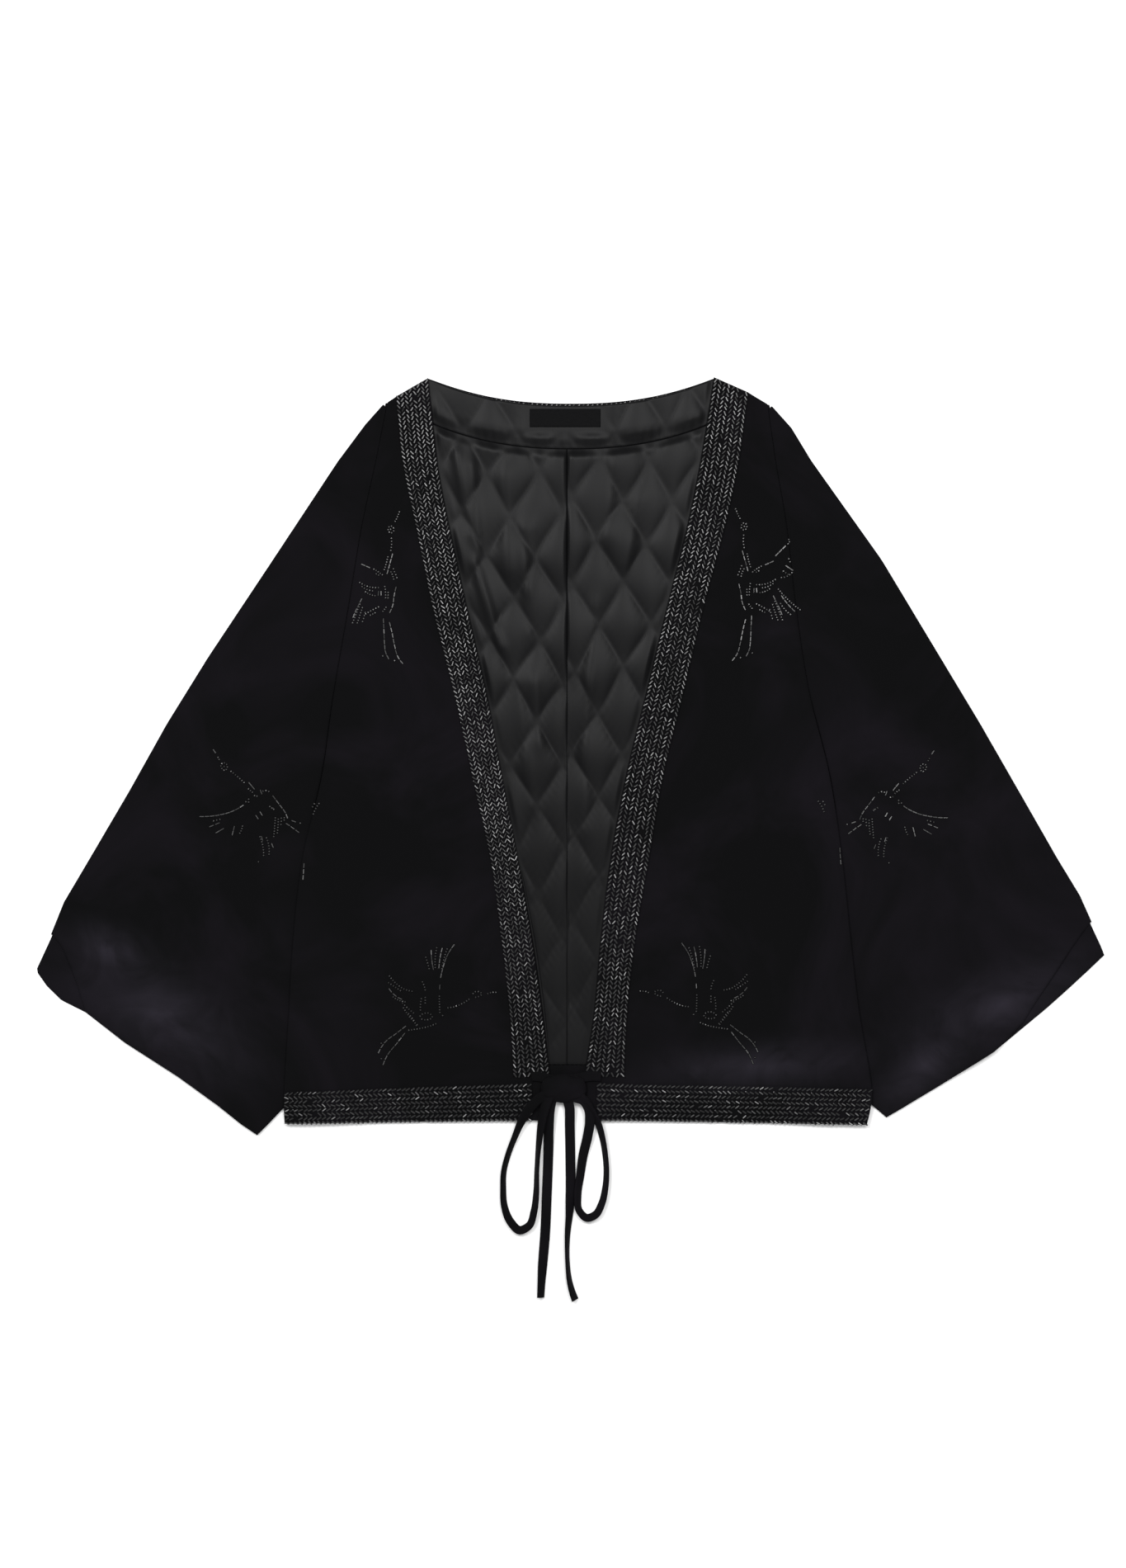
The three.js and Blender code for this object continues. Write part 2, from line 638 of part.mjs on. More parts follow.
function makeNeckFacing() {
  const upper = shares(liningSteps.neck).map((t) => {
    const x = lerp(leftBody[0].edgeX, rightBody[0].edgeX, t);
    return { x, y: neckY(x) };
  });
  const lower = shares(liningSteps.neck).map((t) => {
    const x = lerp(tuckedEdge(rightBody, facingEndY), tuckedEdge(leftBody, facingEndY), t);
    return { x, y: facingSeamY(x) };
  });
  const ends = [leftBody, rightBody].map((body) => frontPoint(body, 2 - liningTuck, 0));
  const outline = [ends[0], ...upper, ends[1], ...lower];
  const puffAt = (p, q, x, y) => {
    const besideX = Math.max(label.left - x, x - label.right);
    const besideY = Math.max(label.low - y, y - label.high);
    const beside = smooth(label.plain, 3 * label.plain, Math.max(besideX, besideY));
    return facingPuff * quiltPuff(p, q, x, y) * beside;
  };
  const sheet = quiltedSheet(quiltStart.left, boxOf(outline), puffAt);
  addPiece('facing_back_neck', cutToOutline(sheet, outline), 'satin');
}

function makeHemFacing() {
  const lowY = hemPoint(0.5, 1, hemArch.edge).y + hemFacing.inset;
  const plan = [hemFacing.topY, lowY].map((y) => {
    const [left, right] = [tuckedEdge(leftBody, y), tuckedEdge(rightBody, y)];
    return shares(liningSteps.across).map((u) => ({ x: lerp(left, right, u), y }));
  });
  addPiece('facing_back_hem', plate(plan, () => liningBottom, satinThickness), 'velvet');
}

function makeLabel() {
  const plan = [label.high, label.low].map((y) => [label.left, label.right].map((x) => ({ x, y })));
  addPiece('label_blank', plate(plan, () => liningTop + seamGap, labelThickness), 'label');
}

// The left front's lining, a narrow strip along its front edge
function makeEdgeStrip() {
  const plan = shares(edgeStrip.levels).map((t) => {
    const { x, y } = bodyPoint(leftBody, 'edge', lerp(edgeStrip.start, edgeStrip.end, t));
    const width = lerp(edgeStrip.narrow, edgeStrip.wide, Math.sin(Math.PI * t));
    return [x + seamGap, x + seamGap + width].map((stripX) => ({ x: stripX, y }));
  });
  const bottom = () => liningTop + 2 * seamGap;
  addPiece('lining_front_left_edge', plate(plan, bottom, edgeStrip.thickness), 'satin');
}

// A flat tape along its route, with an eight-sided section
function makeTie(name, { tape, steps, points }) {
  const route = new THREE.CatmullRomCurve3(points.map((p) => new THREE.Vector3(...p)), false, 'centripetal');
  const [halfHeight, halfWidth] = [tape.thickness / 2, tape.width / 2];
  const corner = tapeRounding * Math.min(halfHeight, halfWidth);
  const section = new THREE.Shape([
    new THREE.Vector2(halfHeight, halfWidth - corner),
    new THREE.Vector2(halfHeight - corner, halfWidth),
    new THREE.Vector2(corner - halfHeight, halfWidth),
    new THREE.Vector2(-halfHeight, halfWidth - corner),
    new THREE.Vector2(-halfHeight, corner - halfWidth),
    new THREE.Vector2(corner - halfHeight, -halfWidth),
    new THREE.Vector2(halfHeight - corner, -halfWidth),
    new THREE.Vector2(halfHeight, corner - halfWidth),
  ]);
  addPiece(name, new THREE.ExtrudeGeometry(section, { steps, extrudePath: route }), 'velvet');
}

function makeKnot() {
  const geometry = new THREE.SphereGeometry(0.5, bowKnot.sides, bowKnot.rings);
  geometry.scale(bowKnot.length, bowKnot.height, bowKnot.thickness);
  geometry.translate(bowKnot.x, bowKnot.y, bowKnot.z);
  addPiece('bow_knot', geometry, 'velvet');
}

makeBack();
makeSleeve('left', leftBody, leftSleeve, leftCuff, -1);
makeSleeve('right', rightBody, rightSleeve, rightCuff, 1);
makeLining('left', leftBody, quiltStart.left);
makeLining('right', rightBody, quiltStart.right);
makeNeckFacing();
makeHemFacing();
makeLabel();
makeFront('left', leftBody);
makeFront('right', rightBody);
makeEdgeStrip();
makeKnot();
for (const [name, route] of Object.entries(tieRoutes)) makeTie(name, route);

export default jacket;
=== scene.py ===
# Cropped kimono jacket of black velvet with bead trims, a quilted satin lining and a tied
# bow, laid flat with its front up. Metres, +X to the wearer's left, +Y towards the neck,
# +Z up, floor at Z = 0. Left and right in names are as the camera sees them.

from functools import partial

import bpy
import numpy as np
from numpy import cos, exp, pi, sin
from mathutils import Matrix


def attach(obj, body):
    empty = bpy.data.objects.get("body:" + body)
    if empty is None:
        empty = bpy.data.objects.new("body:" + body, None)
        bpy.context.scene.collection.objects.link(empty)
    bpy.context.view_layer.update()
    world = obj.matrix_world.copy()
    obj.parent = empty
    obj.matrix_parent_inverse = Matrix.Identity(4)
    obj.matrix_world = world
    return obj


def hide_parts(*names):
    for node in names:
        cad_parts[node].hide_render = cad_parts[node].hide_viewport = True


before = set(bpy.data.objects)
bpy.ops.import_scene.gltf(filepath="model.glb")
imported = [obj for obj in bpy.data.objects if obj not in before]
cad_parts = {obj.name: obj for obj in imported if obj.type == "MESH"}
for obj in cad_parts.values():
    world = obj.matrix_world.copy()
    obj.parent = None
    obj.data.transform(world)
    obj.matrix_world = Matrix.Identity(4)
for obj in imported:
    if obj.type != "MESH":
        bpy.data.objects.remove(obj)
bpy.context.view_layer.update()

# Camera: straight above the jacket with a long lens, so that the garment keeps its cut.
# The upright frame takes in 0.956 by 1.330 m of the floor.
camera_data = bpy.data.cameras.new("camera")
camera_data.lens = 85
camera_data.sensor_width = 36
camera = bpy.data.objects.new("camera", camera_data)
camera.location = (-0.0063, -0.02345, 3.14)
bpy.context.collection.objects.link(camera)
bpy.context.scene.camera = camera


# Ties: two flat tapes of the jacket's velvet, sewn into the front corners and tied in a
# bow. Each runs from its corner into the knot, round its loop, and out as a free tail.
# The lean is the tape's turn about its own line, 0 flat and 90 on edge.
def linear(hex_colour):
    """sRGB hex as linear RGBA: a channel c is c / 12.92 where it is dark, and otherwise
    (c + 0.055) / 1.055 to the power 2.4."""
    c = np.array([int(hex_colour[i : i + 2], 16) / 255 for i in (1, 3, 5)])
    light = np.where(c <= 0.04045, c / 12.92, ((c + 0.055) / 1.055) ** 2.4)
    return (*light.tolist(), 1.0)


def node(tree, kind, values=None, links=None, **settings):
    """Adds a node with its settings, the values of its sockets and the links into them."""
    made = tree.nodes.new(kind)
    for name, setting in settings.items():
        setattr(made, name, setting)
    for name, value in (values or {}).items():
        made.inputs[name].default_value = value
    for name, source in (links or {}).items():
        tree.links.new(source, made.inputs[name])
    return made


def new_material(name):
    """An empty node material, its tree and the place on a piece, for its patterns."""
    made = bpy.data.materials.new(name)
    made.use_nodes = True
    made.node_tree.nodes.clear()
    return made, made.node_tree, node(made.node_tree, "ShaderNodeTexCoord").outputs["Object"]


def noise(tree, place, **values):
    """The strength of a noise texture at a place."""
    return node(tree, "ShaderNodeTexNoise", values, {"Vector": place}).outputs["Fac"]


def ramp(tree, strength, dark, light, start=0, end=1):
    """A colour that runs from dark to light while a strength goes from start to end."""
    made = node(tree, "ShaderNodeValToRGB", links={"Fac": strength})
    for k, (position, colour) in enumerate(((start, dark), (end, light))):
        made.color_ramp.elements[k].position = position
        made.color_ramp.elements[k].color = linear(colour)
    return made.outputs["Color"]


def bump(tree, height, strength, distance):
    """The normals of a surface with a pattern of bumps."""
    made = node(tree, "ShaderNodeBump", {"Strength": strength, "Distance": distance}, {"Height": height})
    return made.outputs["Normal"]


def surface(tree, values, links=None):
    """The one shader of a material, joined to its output."""
    shader = node(tree, "ShaderNodeBsdfPrincipled", values, links)
    node(tree, "ShaderNodeOutputMaterial", links={"Surface": shader.outputs["BSDF"]})


# Rayon velvet, woven double and cut apart: its upright pile swallows the light, so it is nearly black. A
# faint violet painted sheen lies in patches where its folds would catch the light.
velvet, tree, place = new_material("cut_rayon_velvet")
pile_colour = ramp(
    tree, noise(tree, place, Scale=7, Detail=4, Roughness=0.55, Distortion=1.2),
    "#0a0a0b", "#121014", 0.42, 0.72,
)
# Painted sheen: lighter violet patches along the folds near both cuffs and above the hem, where the folds
# would catch the light: x, y, half length, half width and turn in degrees of each lighter patch, broken up
# by streaks
painted_sheen_patches = [
    (-0.35, -0.215, 0.15, 0.06, -32), (-0.39, -0.165, 0.07, 0.036, -20), (0.365, -0.21, 0.14, 0.05, 24),
    (0.3, -0.262, 0.09, 0.04, 40), (0.16, -0.262, 0.15, 0.034, 4),
]
patches = []
for x, y, long, wide, turn in painted_sheen_patches:
    laid_out = node(
        tree, "ShaderNodeMapping",
        {"Location": (x, y, 0), "Rotation": (0, 0, np.radians(turn)), "Scale": (long, wide, 0.2)},
        {"Vector": place}, vector_type="TEXTURE",
    )
    patches.append(node(
        tree, "ShaderNodeTexGradient", links={"Vector": laid_out.outputs["Vector"]},
        gradient_type="QUADRATIC_SPHERE",
    ).outputs["Fac"])
painted_sheen = patches[0]
for patch in patches[1:]:
    painted_sheen = node(
        tree, "ShaderNodeMath", links={0: painted_sheen, 1: patch}, operation="MAXIMUM"
    ).outputs["Value"]
streaks = noise(tree, place, Scale=18, Detail=4, Distortion=2.5)
# The patches times the streaks set how much violet painted sheen is mixed into the pile's colour
painted_sheen_streaked = node(tree, "ShaderNodeMath", links={0: painted_sheen, 1: streaks}, operation="MULTIPLY")
pile_colour_with_painted_sheen = node(
    tree, "ShaderNodeMix", {7: linear("#2d2a32")}, {0: painted_sheen_streaked.outputs["Value"], 6: pile_colour},
    data_type="RGBA",
)
# Tufts of pile are 0.4 mm apart, drawn as coarse as 1.2 mm so that they show
tufts = noise(tree, place, Scale=830, Detail=2)
surface(
    tree,
    {"Roughness": 0.92, "Specular IOR Level": 0.04, "Sheen Weight": 0.06, "Sheen Roughness": 0.35,
     "Sheen Tint": linear("#a39da6")},
    {"Base Color": pile_colour_with_painted_sheen.outputs[2], "Normal": bump(tree, tufts, 0.35, 0.0004)},
)


def outwards(points, faces):
    """Turns all faces over if the volume they enclose is negative. Six times the volume
    is the sum of a . (b x c) over the fan of triangles of each face."""
    volume = 0
    for group in faces:
        a = points[group[:, 0]]
        for k in range(1, group.shape[1] - 1):
            volume += np.sum(a * np.cross(points[group[:, k]], points[group[:, k + 1]]))
    return faces if volume > 0 else [group[:, ::-1] for group in faces]


def add_piece(name, shape, finish, nodes, uv=None, rounded=True):
    """Puts a shape, its points and groups of faces, into a mesh at the origin, and fixes
    it in place of its nodes. uv holds a pair for each point; rounded is off where each
    face is flat."""
    points, faces = shape[0], outwards(*shape)
    mesh = bpy.data.meshes.new(name)
    corners = np.concatenate([group.ravel() for group in faces])
    sizes = np.concatenate([np.full(len(group), group.shape[1]) for group in faces])
    mesh.vertices.add(len(points))
    mesh.vertices.foreach_set("co", points.astype(np.float32).ravel())
    mesh.loops.add(len(corners))
    mesh.loops.foreach_set("vertex_index", corners.astype(np.int32))
    mesh.polygons.add(len(sizes))
    mesh.polygons.foreach_set("loop_start", (np.cumsum(sizes) - sizes).astype(np.int32))
    mesh.polygons.foreach_set("use_smooth", np.full(len(sizes), rounded))
    if uv is not None:
        layer = mesh.uv_layers.new(name="pattern")
        layer.data.foreach_set("uv", uv[corners].astype(np.float32).ravel())
    mesh.update(calc_edges=True)
    mesh.materials.append(finish)
    piece = bpy.data.objects.new(name, mesh)
    bpy.context.collection.objects.link(piece)
    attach(piece, "root")
    if nodes:
        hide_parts(*nodes)
    return piece


def run_along(points):
    """Distance along a line from its start to each of its points."""
    return np.concatenate([[0], np.cumsum(np.linalg.norm(np.diff(points, axis=0), axis=1))])


def smooth_line(points, step):
    """An even curve through points: between each two a cubic whose slope at a point comes
    from its two neighbours, with the distance along the points as its parameter."""
    points = np.asarray(points, float)
    at = run_along(points[:, :3])
    slopes = np.gradient(points, at, axis=0, edge_order=2)
    t = np.linspace(0, at[-1], max(3, round(at[-1] / step) + 1))
    i = np.clip(np.searchsorted(at, t, side="right") - 1, 0, len(at) - 2)
    h = (at[i + 1] - at[i])[:, None]
    u = (t - at[i])[:, None] / h
    return (
        (1 + 2 * u) * (1 - u) ** 2 * points[i]
        + u * (1 - u) ** 2 * h * slopes[i]
        + u**2 * (3 - 2 * u) * points[i + 1]
        + u**2 * (u - 1) * h * slopes[i + 1]
    )


def unit(vectors):
    return vectors / np.linalg.norm(vectors, axis=-1, keepdims=True)


def ring_faces(index):
    """Faces round rings of point numbers, from each ring to the next, and both end caps."""
    after = np.roll(index, -1, axis=-1)
    walls = [index[..., :-1, :], index[..., 1:, :], after[..., 1:, :], after[..., :-1, :]]
    caps = np.concatenate([index[..., :1, :], index[..., -1:, ::-1]])
    return [np.stack(walls, axis=-1).reshape(-1, 4), caps.reshape(-1, index.shape[-1])]


tie_width, tie_thickness, floor_gap = 0.0084, 0.0024, 0.00005


def tape(route, width, thickness, sides=18, step=0.0015):
    """A flat tape along a route of x, y, z and lean. Its section is a rounded oblong, the
    point at angle a being (cos a, sin a) with both drawn out towards the corners; across
    is the level direction beside the route, turned up by the lean. Where the route is
    lower than half the leaning section is high, it is lifted to lie on the floor."""
    line = smooth_line(route, step)
    path, lean = line[:, :3], np.radians(line[:, 3])[:, None]
    lying = (width * np.abs(sin(lean)) + 0.86 * thickness * cos(lean))[:, 0] / 2
    path[:, 2] = np.maximum(path[:, 2], lying + floor_gap)
    ahead = unit(np.gradient(path, axis=0))
    beside = unit(np.cross(ahead, [0, 0, 1]))
    above = np.cross(beside, ahead)
    across = beside * cos(lean) + above * sin(lean)
    facing = above * cos(lean) - beside * sin(lean)
    a = np.arange(sides) * 2 * pi / sides
    wide = np.sign(cos(a)) * np.abs(cos(a)) ** 0.45 * width / 2
    thick = np.sign(sin(a)) * np.abs(sin(a)) ** 0.6 * thickness / 2
    rings = path[:, None] + across[:, None] * wide[:, None] + facing[:, None] * thick[:, None]
    points = rings.reshape(-1, 3)
    return (points, ring_faces(np.arange(len(points)).reshape(-1, sides))), path


# Routes in millimetres, with the lean in degrees: x, y, z, lean
tie_unit = [1000, 1000, 1000, 1]
left_tie_route = np.array([
    (-33, -270.9, 6.4, 0), (-26, -271.1, 6.4, 0), (-18.2, -273.3, 7, 0), (-10.5, -275.2, 8.2, 6),
    (-5.5, -279, 9.6, 12), (-7.5, -283.8, 10.4, 18), (-13, -285.3, 10.4, 20), (-18.9, -285.8, 10.3, 14),
    (-33.3, -296, 10.2, 14), (-41.5, -309, 9.6, 42), (-47, -322, 7, 58), (-53, -338, 4, 63),
    (-56.5, -352, 3.7, 65), (-57, -366, 3.7, 63), (-56, -381, 3.6, 57), (-51, -394, 3.5, 46),
    (-43, -401.5, 3.4, 44), (-35, -397.5, 3.5, 50), (-31, -386, 3.6, 54), (-29, -370, 3.7, 62),
    (-28.5, -352, 3.8, 70), (-27.5, -336, 4.2, 68), (-26, -321, 8.4, 56), (-24.3, -309, 10.2, 44),
    (-22.2, -299, 10.6, 32), (-18.1, -288.2, 10.4, 18), (-13.8, -281.5, 9.8, 10), (-9, -279, 9.2, 6),
    (-5.8, -282.2, 8.8, 4), (-10, -286.2, 8.6, 2), (-14.8, -289.5, 8.5, 2), (-17.2, -298, 7.4, 0),
    (-18, -308.5, 6.6, 0), (-18.4, -318, 4.6, 0), (-18.5, -329, 2.2, 3), (-19, -345, 1.5, 4),
    (-20, -371, 1.4, 5), (-21.5, -405, 1.5, 7), (-23.5, -430, 2, 24), (-24.5, -445, 2.8, 44),
    (-25.2, -458.5, 3, 50),
]) / tie_unit
right_tie_route = np.array([
    (26, -270.9, 6.4, 0), (14, -271.1, 6.4, 0), (3.9, -273.3, 7, 0), (-4, -275.2, 8.4, -6),
    (-8.8, -279.2, 9.8, -12), (-6.8, -283.8, 10.4, -16), (-1.5, -285.6, 10.4, -20),
    (4.7, -285.9, 10.3, -20), (14.5, -296, 10.2, -34), (22.5, -308.5, 8.8, -50), (27, -323, 5.4, -61),
    (29.5, -338, 3.8, -65), (30.5, -352, 3.7, -65), (29.5, -366, 3.6, -61), (26.5, -379, 3.5, -54),
    (21, -388.5, 3.5, -50), (14, -391, 3.4, -50), (7.5, -385, 3.4, -54), (6.2, -373, 3.4, -50),
    (8.2, -356, 3.3, -40), (10.8, -338, 3.4, -24), (14.6, -321.5, 6, -10), (16.4, -308.5, 8.8, -4),
    (15.6, -298.5, 9.6, -2), (11, -291, 9.8, 0), (3.4, -288, 9.7, 0), (-1.5, -283, 9.6, 0),
    (-6.5, -280, 9.2, 0), (-9.8, -283, 8.8, 0), (-8.2, -287.2, 8.6, 0), (-4, -289.2, 8.4, 0),
    (-1, -296, 7.7, 0), (-0.5, -304, 5.4, 0), (-0.5, -313, 2.9, 0), (-0.3, -324, 1.7, 0),
    (0, -345, 1.4, 0), (0, -371, 1.7, 14), (-0.8, -386, 2.8, 44), (-2.5, -406, 3.6, 66),
    (-2.5, -428, 3.7, 74), (-0.5, -446, 3.6, 66), (4, -460.5, 3.2, 52),
]) / tie_unit

# The knot is one turn of tape pulled tight round the two loops: a soft lump with a band
# over its middle, made as a ball that is pinched beside the band and pleated at its ends.
knot_place, knot_size = (-0.0058, -0.281, 0.0096), (0.038, 0.0236, 0.0092)
lengthwise, around = np.meshgrid(np.linspace(0.02, 0.98, 64), np.linspace(0, 2, 49)[:-1], indexing="ij")
along = -cos(pi * lengthwise)
band = exp(-((along / 0.34) ** 4))
pleats = 0.05 * cos(7 * pi * around + 4 * along) * (1 - band)
girth = np.sqrt(np.clip(1 - np.abs(along) ** 5, 0.01, 1)) * (0.86 + 0.16 * band + pleats)
ball = np.stack([along, cos(pi * around) * girth, sin(pi * around) * girth], axis=-1)
knot_points = (ball * knot_size / 2 + knot_place).reshape(-1, 3)
shape = knot_points, ring_faces(np.arange(along.size).reshape(along.shape))
knot = add_piece("bow_knot_velvet", shape, velvet, ["bow_knot"])

for side, route, knot_pieces in (("left", left_tie_route, [knot]), ("right", right_tie_route, [])):
    shape, path = tape(route, tie_width, tie_thickness)
    stretches = [f"tie_{side}_{part}" for part in ("lead", "loop", "tail")]
    tie = add_piece(f"tie_{side}_velvet", shape, velvet, stretches)


# Body lines: the cut of each half in millimetres, a row for each level from the shoulder
# to the hem with the x and y of the side seam, of the front trim's outer edge and of the
# front edge. All layers of the body are laid out between these lines.
left_body = np.array([
    [[-155, 300], [-148, 304.5], [-120.5, 320.3]], [[-165, 249.5], [-142.5, 249.5], [-113, 251]],
    [[-177, 193.5], [-131, 193.5], [-102.5, 193.5]], [[-188.5, 123.5], [-116.5, 123.5], [-87, 123.5]],
    [[-200.5, 53.5], [-99, 53.5], [-71, 53.5]], [[-210.5, -16.5], [-83.5, -16.5], [-58, -16.5]],
    [[-227, -86.5], [-68, -86.5], [-44.5, -86.5]], [[-235, -156.5], [-58.5, -156.5], [-32.5, -156.5]],
    [[-238.5, -216], [-52, -216], [-24, -216]], [[-242.5, -284], [-48.5, -277], [-17, -275.5]],
    [[-242, -311], [-48.5, -308.5], [-16, -308.5]],
]) / 1000
right_body = np.array([
    [[167, 298.5], [151, 308], [121.5, 321]], [[174, 249.5], [143, 249.5], [110, 249.5]],
    [[183.5, 193.5], [131, 193.5], [98.5, 193.5]], [[191.5, 123.5], [112.5, 123.5], [81, 123.5]],
    [[202.5, 53.5], [96, 53.5], [64, 53.5]], [[219.5, -16.5], [79, -16.5], [47, -16.5]],
    [[230, -86.5], [67, -86.5], [34, -86.5]], [[237.5, -156.5], [55, -156.5], [25.5, -156.5]],
    [[244.5, -216], [48.5, -216], [20, -216]], [[255, -281], [46, -277], [11.5, -275.5]],
    [[251, -312], [46, -308.5], [13, -308.5]],
]) / 1000
SIDE, TRIM, EDGE = 0, 1, 2
bodies = (left_body, right_body)
# Levels, 0 at the shoulder and 1 at the hem, of the hem trim's top and the front trims' end
hem_trim_top, front_trim_end = 0.9, 0.888
velvet_wall, satin_wall, seam_gap = 0.0015, 0.0012, 0.0003
lining_bottom = velvet_wall + seam_gap
lining_top = lining_bottom + satin_wall
front_bottom = velvet_wall + seam_gap
front_lift = satin_wall + seam_gap


def curved(rows, t):
    """An even curve through the rows of a table, t from 0 to 1: on each span a cubic
    whose slope at a row is half the difference of the rows beside it."""
    place_in_rows = np.clip(t, 0, 1) * (len(rows) - 1)
    i = np.minimum(place_in_rows.astype(int), len(rows) - 2)
    u = (place_in_rows - i).reshape(place_in_rows.shape + (1,) * (rows.ndim - 1))
    p, q, r, s = (rows[np.clip(i + k, 0, len(rows) - 1)] for k in (-1, 0, 1, 2))
    return q + 0.5 * u * (r - p + u * (2 * p - 5 * q + 4 * r - s + u * (3 * (q - r) + s - p)))


body_lines = {side: curved(body, np.linspace(0, 1, 1201)) for side, body in zip(("left", "right"), bodies)}


def line_x(side, line, y):
    """The x of a body line at a height, read between close points of the line."""
    points = body_lines[side][:, line]
    return np.interp(-y, -points[:, 1], points[:, 0])


def smooth(start, end, value):
    """0 before start, 1 after end, and between them 3 t squared less 2 t cubed."""
    t = np.clip((value - start) / (end - start), 0, 1)
    return t * t * (3 - 2 * t)


def inside(line, x, y):
    """Distance from a point inwards to the nearer side seam, trim line or front edge."""
    return np.minimum(x - line_x("left", line, y), line_x("right", line, y) - x)


def ride_up(y_start, y_full, plateau, end, x, y):
    """How far the body's cloth rides up on the sleeves' edges tucked under its sides:
    the full height of two walls and two gaps, less further down towards the shoulder and
    further in."""
    stack = 2 * velvet_wall + 2 * seam_gap
    return stack * smooth(y_start, y_full, y) * (1 - smooth(plateau, end, inside(SIDE, x, y)))


# Soft folds of the cloth as it lies, in millimetres: from x, y to x, y, with half width
# and height
cloth_folds = np.array([
    [-400, -172, -318, -215, 26, 3.2], [-330, -235, -278, -285, 24, 3.4], [-270, 60, -300, -120, 30, 2.2],
    [-352, -40, -372, -120, 22, 1.8], [262, 62, 306, -110, 30, 2.2], [268, -190, 352, -258, 26, 3.6],
    [352, -30, 384, -112, 22, 1.8], [300, -150, 392, -166, 24, 2.4], [-150, 150, -160, 20, 26, 1.2],
    [150, 130, 158, 0, 26, 1.2], [-150, -190, -120, -250, 24, 1.6], [120, -225, 205, -240, 22, 1.8],
]) / 1000


def fold_height(folds, x, y):
    """Each fold is a rounded ridge: its height times e to the minus square of the
    distance across it over its half width, fading past its ends over twice that."""
    height = np.zeros_like(x)
    for x0, y0, x1, y1, width, top in folds:
        length = np.hypot(x1 - x0, y1 - y0)
        run = ((x - x0) * (x1 - x0) + (y - y0) * (y1 - y0)) / length
        across = ((x - x0) * (y1 - y0) - (y - y0) * (x1 - x0)) / length
        past = np.maximum(np.maximum(-run, run - length), 0)
        height += top * exp(-((across / width) ** 2) - (past / (2 * width)) ** 2)
    return height


def spread(length, step, rim=0.0006):
    """Shares from 0 to 1 about a step apart, with a close pair at each end for the rim."""
    count = max(2, round(length / step))
    inner = np.linspace(rim / length, 1 - rim / length, count)
    return np.concatenate([[0], inner, [1]])


def closed_cloth(outer, inner, rim=0.32):
    """Cloth between two grids of points. On the border both move by rim of the wall
    towards each other, so that the cut edge is rounded, and a strip of faces closes it."""
    rows, cols = outer.shape[:2]
    border = np.zeros((rows, cols, 1))
    border[[0, -1]] = rim
    border[:, [0, -1]] = rim
    wall = border * (inner - outer)
    points = np.concatenate([(outer + wall).reshape(-1, 3), (inner - wall).reshape(-1, 3)])
    index = np.arange(rows * cols).reshape(rows, cols)
    ring = np.concatenate([index[0, :-1], index[:-1, -1], index[-1, :0:-1], index[:0:-1, 0]])
    after = np.roll(ring, -1)
    strip = np.stack([ring, after, after + rows * cols, ring + rows * cols], axis=-1)
    corners = [index[:-1, :-1], index[1:, :-1], index[1:, 1:], index[:-1, 1:]]
    face = np.stack(corners, axis=-1).reshape(-1, 4)
    return points, [face, face[:, ::-1] + rows * cols, strip]


def laid(plan, bottom, wall, rim=0.32):
    """Cloth over a plan of x, y points: its underside at the height bottom, and its top
    a wall higher, each of them one number or one for each point."""
    lower = np.dstack([plan, np.broadcast_to(bottom, plan.shape[:2])])
    upper = lower.copy()
    upper[..., 2] += wall
    return closed_cloth(upper, lower, rim)


def lerp(a, b, t):
    return a + (b - a) * t


def paired(x, y):
    """Points from x and y, spread over each other's rows and columns."""
    return np.stack(np.broadcast_arrays(x, y), axis=-1)


def xy(points):
    return points[..., 0], points[..., 1]


# Back panel: one width of velvet between the side seams, from the neck trim to the hem
# trim. It lies on the floor, and its sides ride up over the sleeves.
neck_centre, neck_low, neck_rise, neck_half, neck_power = 0.0005, 0.2972, 0.0229, 0.121, 2.3
trim_low, trim_rise, trim_half, trim_power = 0.267, 0.0365, 0.1495, 2.9
trim_top_arch, hem_arch, shoulder_share = 0.024, 0.0193, 0.045


def neck_y(x):
    """The back neckline: its low point plus the rise times the share of the half width to
    a power."""
    return neck_low + neck_rise * (np.abs(x - neck_centre) / neck_half) ** neck_power


def hem_line(share, level, arch):
    """The back's hem between its side seams, with its middle lifted by a parabola."""
    left, right = (curved(body, np.array([level]))[0, SIDE] for body in bodies)
    line = lerp(left, right, share[:, None])
    line[:, 1] += arch * (1 - (2 * share - 1) ** 2)
    return line


def neck_trim_line(share):
    """The lower edge of the back neck trim, the same curve with other values."""
    x = lerp(left_body[0, TRIM, 0], right_body[0, TRIM, 0], share)
    return paired(x, trim_low + trim_rise * (np.abs(x - neck_centre) / trim_half) ** trim_power)


def back_ride(x, y):
    """The back's ride up on the sleeves, whole up to 20 mm from its sides."""
    return ride_up(0.022, -0.008, 0.02, 0.06, x, y)


back_across, back_down = spread(0.49, 0.005), spread(0.56, 0.005)
neck_share = np.clip((back_across - shoulder_share) / (1 - 2 * shoulder_share), 0, 1)
back_top = neck_trim_line(neck_share) - [0, seam_gap]
for body, from_side in zip(bodies, (back_across, 1 - back_across)):
    t = from_side[:, None] / shoulder_share
    back_top = np.where(t < 1, lerp(body[0, SIDE], back_top, t), back_top)
back_bottom = hem_line(back_across, hem_trim_top, trim_top_arch)
back_sides = [curved(body, back_down * hem_trim_top)[:, None, SIDE] for body in bodies]
u, v = back_across[:, None], back_down[:, None, None]
back_plan = (
    lerp(back_top, back_bottom, v)
    + lerp(*back_sides, u)
    - lerp(lerp(back_top[0], back_top[-1], u), lerp(back_bottom[0], back_bottom[-1], u), v)
)
shape = laid(back_plan, back_ride(*xy(back_plan)), velvet_wall)
back = add_piece("back_velvet", shape, velvet, ["back_panel"])


